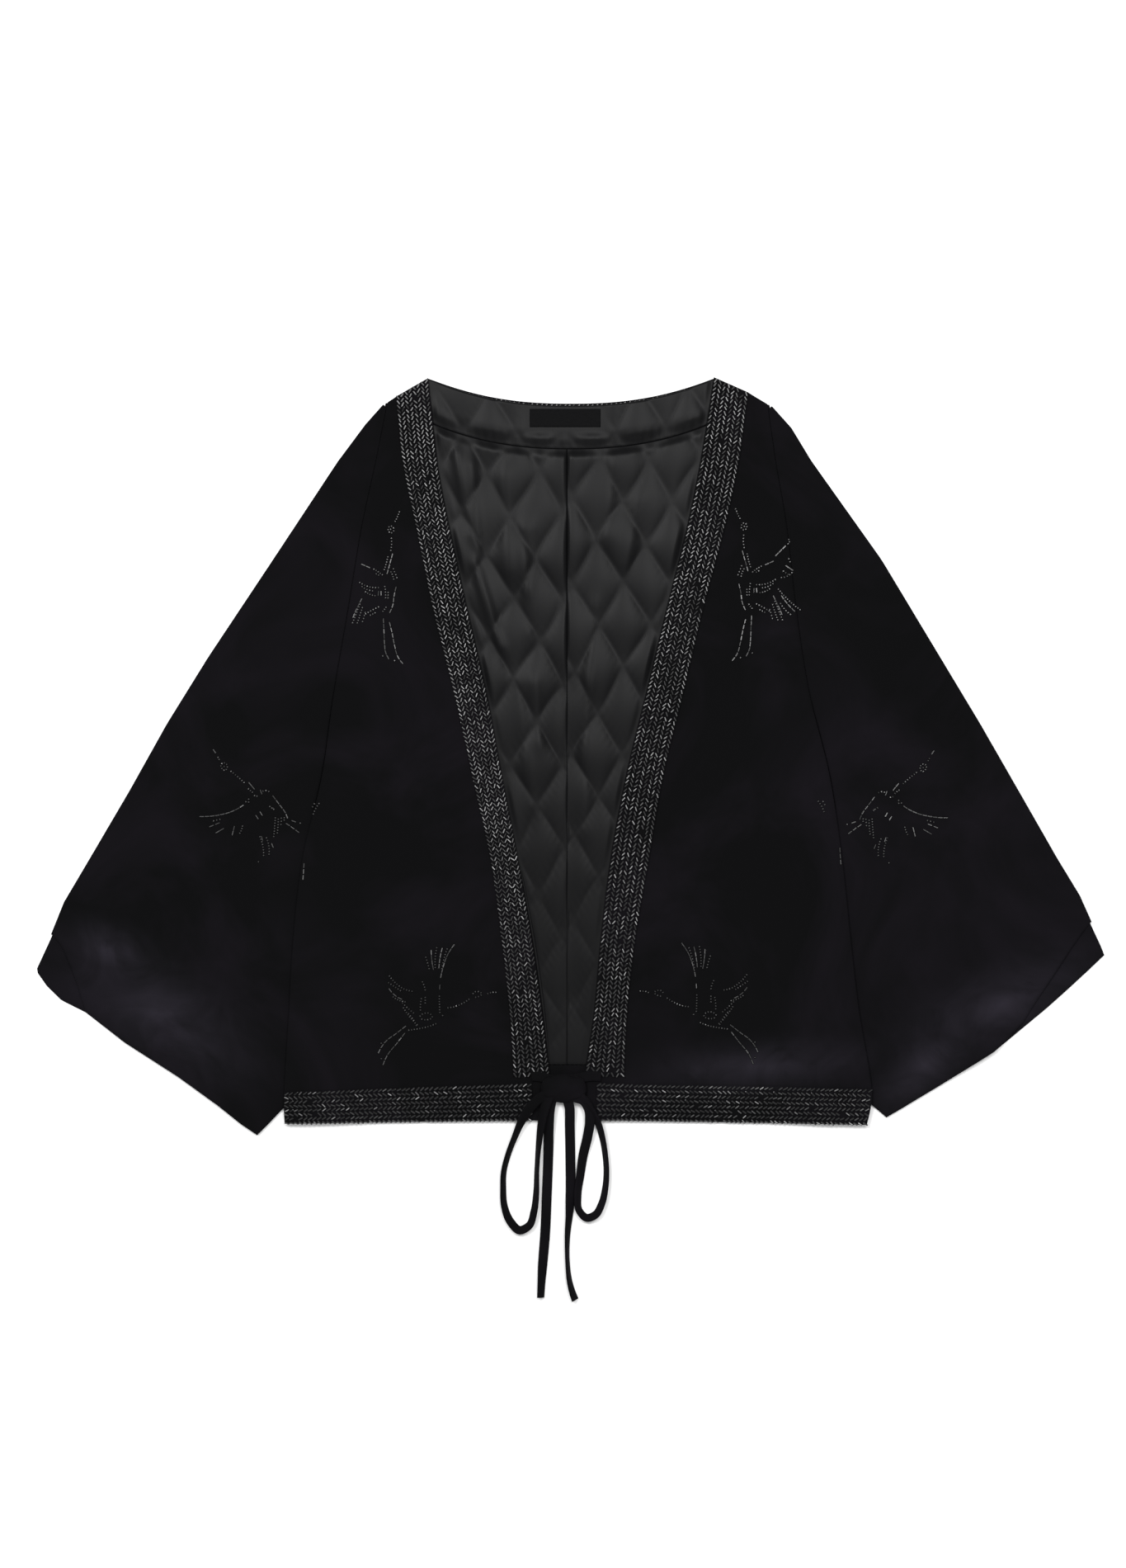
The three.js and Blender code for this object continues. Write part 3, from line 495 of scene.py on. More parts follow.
# Sleeves: each one piece of velvet, folded along the overarm and seamed at the underarm.
# It meets the body at the armhole, and below that its underarm edge is tucked under the
# body's side. Rows run from the shoulder to the cuff, in millimetres: overarm fold x and
# y, the height where the row meets the body, and how far it is tucked.
left_sleeve = np.array([
    [-157.6, 297.2, 294.5, 0], [-172.5, 280.5, 268, 0], [-196, 249, 229, 0], [-251.6, 164.8, 118.5, 0],
    [-306, 83, 6.5, 0], [-341, 26.5, -45, 0], [-372, -29, -95, 14], [-406, -87, -185, 14],
    [-428, -124.2, -285, 13], [-439, -151.5, -321, -23],
]) / 1000
right_sleeve = np.array([
    [169.6, 295.8, 292.5, 0], [186, 277.5, 262, 0], [203, 249.5, 228.5, 0], [262.5, 165.8, 113, 0],
    [312, 83.5, 7.5, 0], [346, 27, -45, 0], [379, -30.5, -95, 14], [411, -86.5, -185, 14],
    [430.5, -118.6, -286, 13], [440.5, -141, -306, -15],
]) / 1000
# Cuff edges: the share of the way from the fold to the underarm, and how far the upper
# and the lower layer run past the straight line between the two corners, in millimetres
cuff_unit = [1, 1000, 1000]
left_cuff = np.array([
    [0, 0, 0], [0.045, 1, 31.6], [0.11, 7, 34.5], [0.18, 15, 34.5], [0.27, 27, 27.5], [0.44, 22.6, 22.8],
    [0.66, 11.6, 11.6], [0.83, 5.4, 5.4], [0.93, 3, 3], [1, 0, 0],
]) / cuff_unit
right_cuff = np.array([
    [0, 0, 0], [0.04, 1.5, 28.4], [0.12, 5, 28.4], [0.22, 10.5, 28], [0.32, 16, 27.2], [0.42, 22, 25.5],
    [0.56, 22.8, 23.2], [0.78, 12, 12], [0.93, 4, 4], [1, 0, 0],
]) / cuff_unit
armhole_gap = 0.00045


def straight(rows, t):
    """The columns of a table by straight lines between its rows, t from 0 to 1."""
    place_in_rows = np.clip(t, 0, 1) * (len(rows) - 1)
    i = np.minimum(place_in_rows.astype(int), len(rows) - 2)
    return lerp(rows[i], rows[i + 1], (place_in_rows - i)[:, None])


def sleeve_folds(x, y):
    """The soft folds, flat within 5 mm of the body's side and whole from 34 mm on."""
    return smooth(0.005, 0.034, -inside(SIDE, x, y)) * fold_height(cloth_folds, x, y)


def sleeve(side, rows, cuff, outward):
    """The sleeve's outside and inside walls as grids: along the upper layer from the
    underarm to the overarm, round a half circle there, and back along the lower layer."""
    t = spread(0.44, 0.004)
    row = straight(rows, t)
    fold = row[:, :2]
    edge = paired(line_x(side, SIDE, row[:, 2]) + outward * (armhole_gap - row[:, 3]), row[:, 2])
    run = unit(edge[-1] - fold[-1])
    past = np.array([-run[1], run[0]]) * outward
    reach = 1 - smooth(0, 2.5, (1 - t) * (len(rows) - 1))
    shares = spread(0.3, 0.004)[1:]

    def layer(column):
        shift = np.interp(shares, cuff[:, 0], cuff[:, column])[:, None]
        return lerp(fold[:, None], edge[:, None], shares[:, None]) + past * shift * reach[:, None, None]

    upper, lower = layer(1), layer(2)
    half = velvet_wall + seam_gap / 2
    folds = smooth(0, 0.3, shares) * sleeve_folds(*xy(upper))
    upper_inside = np.dstack([upper, velvet_wall + seam_gap + folds])
    step = 0.5 / (len(rows) - 1)
    way = (straight(rows, t + step) - straight(rows, t - step))[:, :2]
    away = unit(paired(-way[:, 1], way[:, 0]) * outward)
    turn = np.radians(np.linspace(75, -75, 7))

    def turned(radius):
        level = fold[:, None] + away[:, None] * radius * cos(turn)[:, None]
        return np.dstack([level, np.broadcast_to(half + radius * sin(turn), level.shape[:2])])

    lower_outside = np.dstack([lower, np.zeros(lower.shape[:2])])
    wall = [0, 0, velvet_wall]
    outer = [(upper_inside + wall)[:, ::-1], turned(half), lower_outside]
    inner = [upper_inside[:, ::-1], turned(seam_gap / 2), lower_outside + wall]
    return np.concatenate(outer, axis=1), np.concatenate(inner, axis=1)


for side, rows, cuff, outward, area in (
    ("left", left_sleeve, left_cuff, -1, 0.15), ("right", right_sleeve, right_cuff, 1, 0.146)
):
    shape = closed_cloth(*sleeve(side, rows, cuff, outward))
    piece = add_piece(f"sleeve_{side}_velvet", shape, velvet, [f"sleeve_{side}"])

# Seam allowances: the strip of velvet that joins sleeve and body inside each armhole. It
# lies between the upper and the lower layer and closes the seam from the shoulder down.
allowance_end, allowance_wall, allowance_lift = -0.046, 0.00026, 0.00002
for side, allowance_start in (("left", 0.2994), ("right", 0.298)):
    down, over = spread(0.34, 0.004), spread(0.01, 0.002, 0.0003)
    y = lerp(allowance_start, allowance_end, down)[:, None]
    half_width = lerp(0.0016, 0.005, smooth(0, 0.08, down))[:, None]
    plan = paired(line_x(side, SIDE, y) + half_width * (2 * over - 1), y)
    shape = laid(plan, velvet_wall + allowance_lift, allowance_wall)
    piece = add_piece(f"armhole_allowance_{side}", shape, velvet, [])


# Quilted lining: two halves of black satin stitched in diamonds through a thin wadding,
# seamed down the middle of the back and tucked under the front trims. The wadding puffs
# between the lines of stitches, and the satin puckers along them.
diamond_width, diamond_height, puff_height, ripple_height = 0.0427, 0.0714, 0.0022, 0.00006
quilt_start = {"left": (-0.0704, 0.2418), "right": (0.0235, 0.253)}
centre_seam, seam_half_gap, seam_dip, gather_height = -0.003, 0.00005, 0.0008, 0.0002
lining_folds = np.array([
    [-96, 255, -84, 190, 5, 1.4], [-84, 245, -78, 180, 5, 1.2], [-80, 160, -60, 95, 5, 1.5],
    [-56, 235, -52, 160, 7, 0.9], [-34, 190, -34, 110, 7, 0.8], [-44, 60, -32, -40, 7, 0.9],
    [14, 60, 12, -60, 7, 0.8], [-41, 190, -38, 145, 6, 1.1], [-31, 60, -27, 15, 6, 1],
    [36, 245, 30, 190, 7, 0.9], [58, 215, 48, 165, 6, 0.7], [20, 125, 16, 60, 6, 0.8],
    [-1, 50, 1, -200, 9, -0.9],
]) / 1000

# Polyester satin: a close weave of floats, black with a soft grey gloss along the threads
satin, tree, place = new_material("quilted_polyester_satin")
satin_colour = ramp(tree, noise(tree, place, Scale=14, Detail=3), "#070708", "#0d0d0e", 0.3, 0.7)
# Threads are 0.1 mm apart, drawn 0.8 mm apart so that the grain shows
stretched = node(tree, "ShaderNodeMapping", {"Scale": (1250, 120, 120)}, {"Vector": place})
threads = noise(tree, stretched.outputs["Vector"], Scale=1, Detail=1)
surface(
    tree, {"Roughness": 0.38, "Specular IOR Level": 0.08},
    {"Base Color": satin_colour, "Normal": bump(tree, threads, 0.12, 0.0002)},
)
# The share of the trims' width that lies over the lining, and the y of its upper corners
tuck, corner_y = 0.4, 0.277


def tucked_x(side, y):
    """The lining's edge under the front trim."""
    return lerp(line_x(side, EDGE, y), line_x(side, TRIM, y), tuck)


def quilt_lines(side, x, y):
    """Coordinates in which the stitch lines are at whole numbers: the share of the
    diamond's width plus, and less, the share of its height. Long sine waves of 1 to 3 mm
    bend the lines, as the cloth has been drawn about."""
    x = x + 0.0018 * sin(2 * pi * y / 0.17 + 1) + 0.001 * sin(2 * pi * (x / 0.08 + y / 0.11))
    y = y + 0.0026 * sin(2 * pi * x / 0.12 + 2 * pi * y / 0.31)
    across = (x - quilt_start[side][0]) / diamond_width
    up = (y - quilt_start[side][1]) / diamond_height
    return across + up, across - up


def quilt_height(side, x, y):
    """The puff is the product, to the power 0.6, of (root of (sin squared + 0.02) - 0.14)
    / 0.87 for both line coordinates, uneven from diamond to diamond and lower towards the
    hem, where the wadding is pulled flat. Ripples run off the lines and die out 6 mm away."""
    p, q = quilt_lines(side, x, y)
    puff = 1
    for lines in (p, q):
        puff = puff * np.clip((np.sqrt(sin(pi * lines) ** 2 + 0.02) - 0.1414) / 0.8686, 0, 1)
    uneven = 0.8 + 0.2 * sin(2 * pi * (np.floor(p) * 0.37 + np.floor(q) * 0.61))
    puff = puff**0.6 * uneven * lerp(0.3, 1, smooth(-0.22, 0.08, y))
    line_spacing, side_length, ripple_length, ripple_fade = 0.0366, 0.0416, 0.0062, 0.0025
    ripples = 0
    for near, along, phase in ((p, q, 1.3), (q, p, 4.1)):
        off = np.abs(near - np.round(near)) * line_spacing
        turns = 2 * pi * along * side_length / ripple_length + phase * np.round(near)
        wave = sin(turns + 2 * sin(3 * along))
        ripples = ripples + wave * off / 0.002 * exp(-off / ripple_fade)
    seam = 1 - 0.6 * exp(-(((x - centre_seam) / 0.0013) ** 2))
    edge = smooth(0.0005, 0.006, inside(EDGE, x, y))
    height = puff_height * puff + ripple_height * ripples + fold_height(lining_folds, x, y)
    return height * seam * edge


def gathers(x, to_seam, reach, dip_reach, width, bend, bends):
    """Waves across the seam, a width long and bent by a sine, which die out a reach away
    from it, less the dip along the seam."""
    waves = sin(2 * pi * x / width + bend * sin(bends * x)) * smooth(reach, 0, to_seam)
    return gather_height * waves - seam_dip * (1 - smooth(0, dip_reach, to_seam))


facing_seam_depth, hem_facing_top = 0.0364, -0.2615
for side, outward, area in (("left", -1, 0.0462), ("right", 1, 0.0456)):
    seam_x = centre_seam + outward * seam_half_gap
    top_edge = tucked_x(side, corner_y)
    down, over = spread(0.53, 0.0018), spread(0.1, 0.0017)
    edge_y = lerp(neck_y(top_edge) - facing_seam_depth, hem_facing_top + seam_gap, down)
    top_y = neck_y(lerp(seam_x, top_edge, over)) - facing_seam_depth - seam_gap
    bend = (1 - down[:, None]) ** 2 * (top_y - edge_y[0])
    lining_plan = paired(lerp(seam_x, tucked_x(side, edge_y)[:, None], over), edge_y[:, None] + bend)
    x, y = xy(lining_plan)
    to_seam = neck_y(x) - facing_seam_depth - y
    rise = quilt_height(side, x, y) * smooth(0, 0.008, to_seam)
    rise += gathers(x, to_seam, 0.014, 0.009, 0.0085, 3, 60)
    shape = laid(lining_plan, lining_bottom, satin_wall + rise, rim=0.15)
    pattern = np.tile(paired(*quilt_lines(side, x, y)).reshape(-1, 2), (2, 1))
    piece = add_piece(f"lining_{side}_satin", shape, satin, [f"lining_back_{side}"], pattern)


# Neck facing: a strip of the same quilted satin inside the back neck, seamed to the
# lining, with gathers along the seam.
left_end, right_end = (lerp(body[0, EDGE], body[0, TRIM], tuck) for body in bodies)
over, down = spread(0.25, 0.0018), spread(0.036, 0.0015)
upper_x = lerp(left_end[0], right_end[0], over)
corners = np.array([left_end, left_body[0, EDGE], right_body[0, EDGE], right_end])
upper_y = np.where(
    np.abs(upper_x - neck_centre) > neck_half, np.interp(upper_x, *corners.T), neck_y(upper_x)
)
lower_x = lerp(tucked_x("left", corner_y), tucked_x("right", corner_y), over)
lower_line = paired(lower_x, neck_y(lower_x) - facing_seam_depth)
facing_plan = lerp(paired(upper_x, upper_y), lower_line, down[:, None, None])
x, y = xy(facing_plan)
label_left, label_right, label_low, label_high = -0.0345, 0.0255, 0.279, 0.2943
beside_label = np.maximum(
    np.maximum(label_left - x, x - label_right), np.maximum(label_low - y, y - label_high)
)
to_seam = y - (neck_y(x) - facing_seam_depth)
rise = 0.8 * quilt_height("left", x, y) * smooth(0.003, 0.012, beside_label) * smooth(0, 0.01, to_seam)
rise += gathers(x, to_seam, 0.016, 0.016, 0.0078, 2, 75)
shape = laid(facing_plan, lining_bottom, satin_wall + rise)
piece = add_piece("neck_facing_satin", shape, satin, ["facing_back_neck"])


# Hem facing: a strip of velvet inside the back hem, which shows between the two fronts
# and reaches half a millimetre less far down.
over, down = spread(0.07, 0.003), spread(0.03, 0.003)
hem_middle = hem_line(np.array([0.5]), 1, hem_arch)[0, 1] + 0.0005
y = lerp(hem_facing_top, hem_middle, down)[:, None]
facing_plan = paired(lerp(tucked_x("left", y), tucked_x("right", y), over), y)
shape = laid(facing_plan, lining_bottom, satin_wall)
piece = add_piece("hem_facing_velvet", shape, velvet, ["facing_back_hem"])


# Label: a plain woven tape sewn down inside the back neck, left bare.
label_tape, tree, place = new_material("woven_label_tape")
# Ribs of the tape are 0.3 mm apart, drawn 0.9 mm apart so that they show
ribs = node(
    tree, "ShaderNodeTexWave", {"Scale": 350, "Distortion": 0.4}, {"Vector": place},
    bands_direction="Y",
)
tape_colour = ramp(tree, noise(tree, place, Scale=500, Detail=2), "#050506", "#0c0c0d")
surface(
    tree, {"Roughness": 0.6, "Specular IOR Level": 0.04},
    {"Base Color": tape_colour, "Normal": bump(tree, ribs.outputs["Fac"], 0.3, 0.0002)},
)
label_wall = 0.0006
over, down = spread(0.06, 0.0012, 0.0003), spread(0.0153, 0.0012, 0.0003)
label_plan = paired(lerp(label_left, label_right, over), lerp(label_high, label_low, down)[:, None])
shape = laid(label_plan, lining_top + seam_gap, label_wall)
piece = add_piece("label_tape", shape, label_tape, ["label_blank"])


# Fronts: two panels of velvet on the back, with the lining's thickness under their front
# edges. The front edge and the hem carry the bead trims.
def front_share(side, x, y):
    """0 at the side seam, 1 at the trim's outer edge and 2 at the front edge."""
    seam, trim, edge = (line_x(side, line, y) for line in (SIDE, TRIM, EDGE))
    return np.clip((x - seam) / (trim - seam), 0, 1) + np.clip((x - trim) / (edge - trim), 0, 1)


def front_height(side, x, y):
    """Height of a front's underside: on the back, lifted towards the opening by the
    lining's thickness, up on the sleeve's tucked edge, and with the soft folds."""
    lift = np.interp(front_share(side, x, y), [0.45, 0.62, 0.82, 1, 1.45], [0, 0.1, 0.5, 0.8, 1])
    clear = smooth(0, 0.034, inside(SIDE, x, y)) * (1 - lift)
    ride = ride_up(0.06, 0.02, 0.03, 0.085, x, y)
    return front_bottom + front_lift * lift + ride + clear * fold_height(cloth_folds, x, y)


def front_plan(body, shares, levels):
    """Points between the body lines: shares across as front_share gives them, and levels
    from the shoulder, 0, to the hem, 1."""
    seam, trim, edge = np.moveaxis(curved(body, levels)[:, None], 2, 0)
    at = shares[:, None]
    return seam + (trim - seam) * np.minimum(at, 1) + (edge - trim) * np.maximum(at - 1, 0)


for side, body, area in (("left", left_body, 0.0855), ("right", right_body, 0.093)):
    shares = np.concatenate([spread(0.13, 0.004)[:-1], 1 + spread(0.03, 0.004)[1:]])
    plan = front_plan(body, shares, spread(0.62, 0.004))
    shape = laid(plan, front_height(side, *xy(plan)), velvet_wall)
    piece = add_piece(f"front_{side}_velvet", shape, velvet, [f"front_{side}"])

# The left front's own lining shows as a narrow strip along its front edge.
strip_wall = 0.001
down, over = spread(0.17, 0.003), spread(0.0024, 0.0006, 0.0002)
strip_edge = curved(left_body, lerp(0.61, 0.87, down))[:, EDGE]
strip_width = lerp(0.0008, 0.0024, sin(pi * down))
strip_x = strip_edge[:, :1] + seam_gap + strip_width[:, None] * over
shape = laid(paired(strip_x, strip_edge[:, 1:]), lining_top + 2 * seam_gap, strip_wall)
piece = add_piece("front_lining_edge_satin", shape, satin, ["lining_front_left_edge"])


# Bead trims: bands of velvet covered with black glass bugle beads sewn on in columns,
# each bead slanted, and each column slanted against the next, like a knitted cable.
bead_glass, tree, place = new_material("black_bead_glass")
glass_colour = ramp(tree, noise(tree, place, Scale=240, Detail=1), "#050506", "#0a0a0b")
surface(tree, {"Roughness": 0.32, "IOR": 1.52, "Specular IOR Level": 0.58}, {"Base Color": glass_colour})

# Each bead is turned: rings at shares of its length with shares of its radius
bugle_profile = np.array([[-0.5, 0.72], [-0.42, 1], [0.42, 1], [0.5, 0.72]])
seed_profile = np.array([[-0.5, 0.5], [-0.24, 1], [0.24, 1], [0.5, 0.5]])
bead_sides = 6
luck = np.random.default_rng(7)


def beads(profile, centres, along, up, lengths, radii):
    """A bead at each centre: its rings stand across the along direction, with the point
    at angle a at cos a beside it and sin a above, and a cap closes each end."""
    along = unit(along)
    beside = unit(np.cross(up, along))
    above = np.cross(along, beside)
    a = np.arange(bead_sides) * 2 * pi / bead_sides
    run = np.reshape(lengths, (-1, 1)) * profile[:, 0]
    out = np.reshape(radii, (-1, 1)) * profile[:, 1]
    points = (
        centres[:, None, None]
        + along[:, None, None] * run[:, :, None, None]
        + beside[:, None, None] * (out[:, :, None] * cos(a))[..., None]
        + above[:, None, None] * (out[:, :, None] * sin(a))[..., None]
    ).reshape(-1, 3)
    index = np.arange(len(points)).reshape(len(centres), len(profile), bead_sides)
    return points, ring_faces(index)


def joined(parts):
    """Joins pairs of points and faces into one pair."""
    points, faces, count = [], [], 0
    for part_points, part_faces in parts:
        points.append(part_points)
        faces += [group + count for group in part_faces]
        count += len(part_points)
    return np.concatenate(points), faces


def on_line(path, run, at):
    """The points of a line of x, y points at distances along it."""
    return paired(*(np.interp(at, run, path[:, k]) for k in (0, 1)))


def way_at(path, run, at, reach):
    """The way a line runs at distances along it, from a reach before to a reach after."""
    return unit(on_line(path, run, at + reach) - on_line(path, run, at - reach))


bead_length, bead_radius, bead_slant, bead_pitch, bead_columns = 0.0041, 0.00074, 33, 0.0039, 8
# How uneven the beads are sewn: their places along a column, slants in degrees, rises to
# one end, heights, leans and lengths, and the share that has come off
bead_wander, slant_wander, rise_wander, height_wander = 0.00022, 6, 0.12, 0.00012
lean_wander, length_wander, lost_share = 0.08, 0.05, 0.012


def beaded_band(inner_line, outer_line, top, under):
    """Beads between two lines of x, y points of like count. A column keeps its share of
    the way from one line to the other; beads follow it a pitch apart, slanted in turn."""
    columns = []
    for column in range(bead_columns):
        path = lerp(inner_line, outer_line, (column + 0.5) / bead_columns)
        run = run_along(path)
        count = int(run[-1] / bead_pitch)
        at = (np.arange(count) + 0.5) * run[-1] / count + luck.normal(0, bead_wander, count)
        slants = np.full(count, (-1) ** column * bead_slant)
        columns.append(np.column_stack([on_line(path, run, at), way_at(path, run, at, 0.002), slants]))
    sewn = np.concatenate(columns)
    count = len(sewn)
    slant = np.radians(sewn[:, 4] + luck.normal(0, slant_wander, count))
    ahead, beside = sewn[:, 2], sewn[:, 3]
    along = np.column_stack([
        ahead * cos(slant) - beside * sin(slant), ahead * sin(slant) + beside * cos(slant),
        luck.normal(0, rise_wander, count) * (not under),
    ])
    height = top(sewn[:, 0], sewn[:, 1]) + luck.normal(0, height_wander, count) * (not under)
    centres = np.column_stack([sewn[:, :2], height])
    up = [0, 0, 1] + luck.normal(0, lean_wander, (count, 3))
    lengths = bead_length * (1 + luck.normal(0, length_wander, count))
    kept = luck.random(count) > lost_share
    return beads(bugle_profile, centres[kept], along[kept], up[kept], lengths[kept], bead_radius)


band_wall, bead_seat, hem_overhang = 0.0008, 0.00045, 0.0012
on_front = velvet_wall + seam_gap


def bead_trim(name, plan, lines, height, band_lift, bead_lift, under=False, **cut):
    """A band of velvet over its plan and the beads between its two lines, each lifted
    above a height. Under is for beads that are under their band."""
    shape = laid(plan, height(*xy(plan)) + band_lift, band_wall)
    seated = beaded_band(*lines, lambda x, y: height(x, y) + bead_lift, under)
    band = add_piece(f"{name}_band", shape, velvet, [name])
    add_piece(f"{name}_beads", seated, bead_glass, [], rounded=False)


for side, body, hem_end in (("left", left_body, 1.5), ("right", right_body, 1.7)):
    # Down the front edge, the beads 2 thousandths of the line further than the band
    underside = partial(front_height, side)
    lifts = on_front, on_front + band_wall + bead_seat
    rests = [f"front_{side}_velvet"]
    plan = front_plan(body, 1 + spread(0.03, 0.003), spread(0.54, 0.004) * front_trim_end)
    lines = curved(body, np.linspace(0, front_trim_end + 0.002, 400))
    bead_trim(
        f"front_trim_{side}", plan, (lines[:, TRIM], lines[:, EDGE]), underside, *lifts,
        flat=(0.034, 0.56), rests_on=rests, area=0.0165,
    )
    # Along the hem, from the side seam to the front corner
    shares = np.concatenate([spread(0.2, 0.004)[:-1], lerp(1, hem_end, spread(0.02, 0.004)[1:])])
    plan = front_plan(body, shares, lerp(hem_trim_top, 1, spread(0.03, 0.003)))
    shares = np.concatenate([np.linspace(0, 1, 300), np.linspace(1.01, hem_end, 40)])
    upper_line, lower_line = front_plan(body, shares, np.array([hem_trim_top, 1]))
    bead_trim(
        f"hem_trim_{side}", plan, (upper_line, lower_line - [0, hem_overhang]), underside, *lifts,
        flat=(0.245, 0.032), rests_on=rests, area=0.0062,
    )

# The same trim round the back hem and the back neck lies face down: its beads touch the
# floor, and its velvet band is on top of them.
under_lifts = 0.0007, 0.00088
over, down = spread(0.49, 0.004), spread(0.03, 0.003)
hem_high = hem_line(over, hem_trim_top, trim_top_arch) - [0, seam_gap]
hem_low = hem_line(over, 1, hem_arch)
bead_trim(
    "hem_trim_back", lerp(hem_high, hem_low, down[:, None, None]), (hem_high, hem_low), back_ride,
    *under_lifts, under=True, flat=(0.495, 0.032), area=0.014,
)
over = spread(0.27, 0.004)
collar_x = lerp(left_body[0, EDGE, 0], right_body[0, EDGE, 0], over)
collar_high = paired(collar_x, neck_y(collar_x) + 0.0018 * sin(pi * over) ** 0.5)
collar_low = neck_trim_line(over)
bead_trim(
    "neck_trim_back", lerp(collar_high, collar_low, down[:, None, None]), (collar_high, collar_low),
    lambda x, y: 0 * x, *under_lifts, under=True, flat=(0.3, 0.05), area=0.0088,
)


# Cranes: one on each side of the opening high up, one on each sleeve and one on each
# front above the hem, drawn on the velvet in bugle and seed beads. A stroke is the kind
# of bead and x, y after x, y in millimetres from the middle of the bird, x to the right
# and y up, for the left side.
rising_crane = [
    ("seed", 14, 60, 11.5, 54, 9.5, 50), ("seed", 8, 46.5, 5.5, 47, 4, 44, 6, 41, 8.5, 42.5, 8, 46.5),
    ("seed", 6, 44, 6.3, 44.6), ("seed", 6.5, 38, 7, 31, 6, 25), ("bugle", 8, 24, 5.5, 15, 3, 6),
    ("seed", 4, 22, 2.5, 15, 0.5, 9), ("seed", 8, 12, 10, 7, 12, 2), ("seed", 6, 9, 8, 5, 9, 1),
    ("bugle", 11, -4, 9, -13, 8, -20, 5, -27), ("bugle", -19, 15, -11, 11.5),
    ("seed", -9, 11, -4, 8, 0, 5), ("seed", -7, 7, -3, 5), ("seed", -21, 0, -15, -3.5, -9, -5, -3, -5),
    ("seed", -19, -3.5, -13, -7, -8, -8), ("seed", -16, -8, -11, -11, -6, -12),
    ("bugle", -4, -7, -4.5, -13), ("bugle", -2, -7, -1.8, -13), ("seed", 1, -3, 1.8, -9, 2, -15),
    ("seed", 4, -8, 4, -15), ("bugle", -18, -14, -23, -24, -26, -31),
    ("seed", -19.5, -18, -23, -27, -26.5, -36), ("seed", -17.5, -21, -20, -29, -22.5, -36),
    ("seed", -15, -25, -18, -35), ("seed", -16, -28, -9, -24, -3, -21), ("seed", -12, -29, -6, -26),
    ("seed", 3, -21, -1, -26), ("bugle", 0, -31, 0.5, -41, 1, -52, 2, -60, 5, -66),
    ("bugle", 5, -34, 7.5, -44, 9.5, -54, 12, -63, 17, -70), ("seed", 0, -62, -1, -64),
    ("seed", 9, -66, 10, -68),
]
# The bird on the right has its far wing spread wider, and longer tail feathers
spread_wing = [
    ("bugle", -20, 19, -29, 28), ("seed", -30, 29, -32, 31, -31, 34), ("seed", -31, 18, -33, 13),
    ("bugle", -29, 11, -35, 7), ("seed", -26, 7, -32, 3), ("seed", -24, 1, -30, 2, -35, 6),
    ("seed", -22, -8, -30, -17, -42, -27), ("bugle", -25, -14, -31, -22, -37, -28),
    ("seed", -24, -20, -29, -27, -34, -31),
]
gliding_crane = [
    ("bugle", -39.5, 47.5, -36.5, 43), ("seed", -35.5, 41, -33.5, 37.5),
    ("seed", -32.5, 34, -30, 35.5, -27, 33, -29, 29, -31.5, 30.5, -32.5, 34),
    ("seed", -30, 32.5, -29.5, 32.3), ("seed", -25, 29, -18, 23.5, -12, 18), ("bugle", -9, 19, -4, 13),
    ("seed", -10, 14, -5, 10), ("bugle", 0.5, 13.5, 2.5, 8), ("seed", 2, 11, 5.5, 12, 9, 10.5),
    ("seed", -5, 8, -1, 7), ("seed", -9, 6, -9, 1), ("seed", -11, 4, -11.5, 1),
    ("bugle", 11, 8, 17, 0, 22, -7, 24, -12), ("bugle", -13, 0, -24, -6, -36, -9, -51, -10),
    ("bugle", -43, -19, -33, -15), ("seed", -40, -14, -32, -12), ("bugle", -37, -24, -30, -20),
    ("bugle", -21, -18, -23, -26), ("seed", -14, -17, -15, -21, -17, -25), ("bugle", 0, -5, 3, -10),
    ("bugle", -3, -9, -1, -12), ("seed", 8, -1, 13, -4.5), ("seed", 11, -2, 12, -4),
    ("seed", 13.5, -10, 13, -18, 12, -28), ("seed", 16, -11, 15.8, -17, 15, -25),
    ("seed", 18.5, -10, 18.5, -14, 18, -18), ("seed", 21, -10, 21, -14),
    ("seed", 0, -26, 2.5, -33, 3.5, -44), ("bugle", 1.5, -26, 3, -31), ("seed", 5.5, -27, 8, -35, 8, -43),
    ("bugle", 10, -32, 12, -37), ("seed", -1, -48, -0.6, -48.5), ("bugle", 26, -13, 32, -15),
    ("seed", 34, -15.5, 35, -15.8), ("bugle", 22, -15.5, 28, -19.5, 34, -24),
]
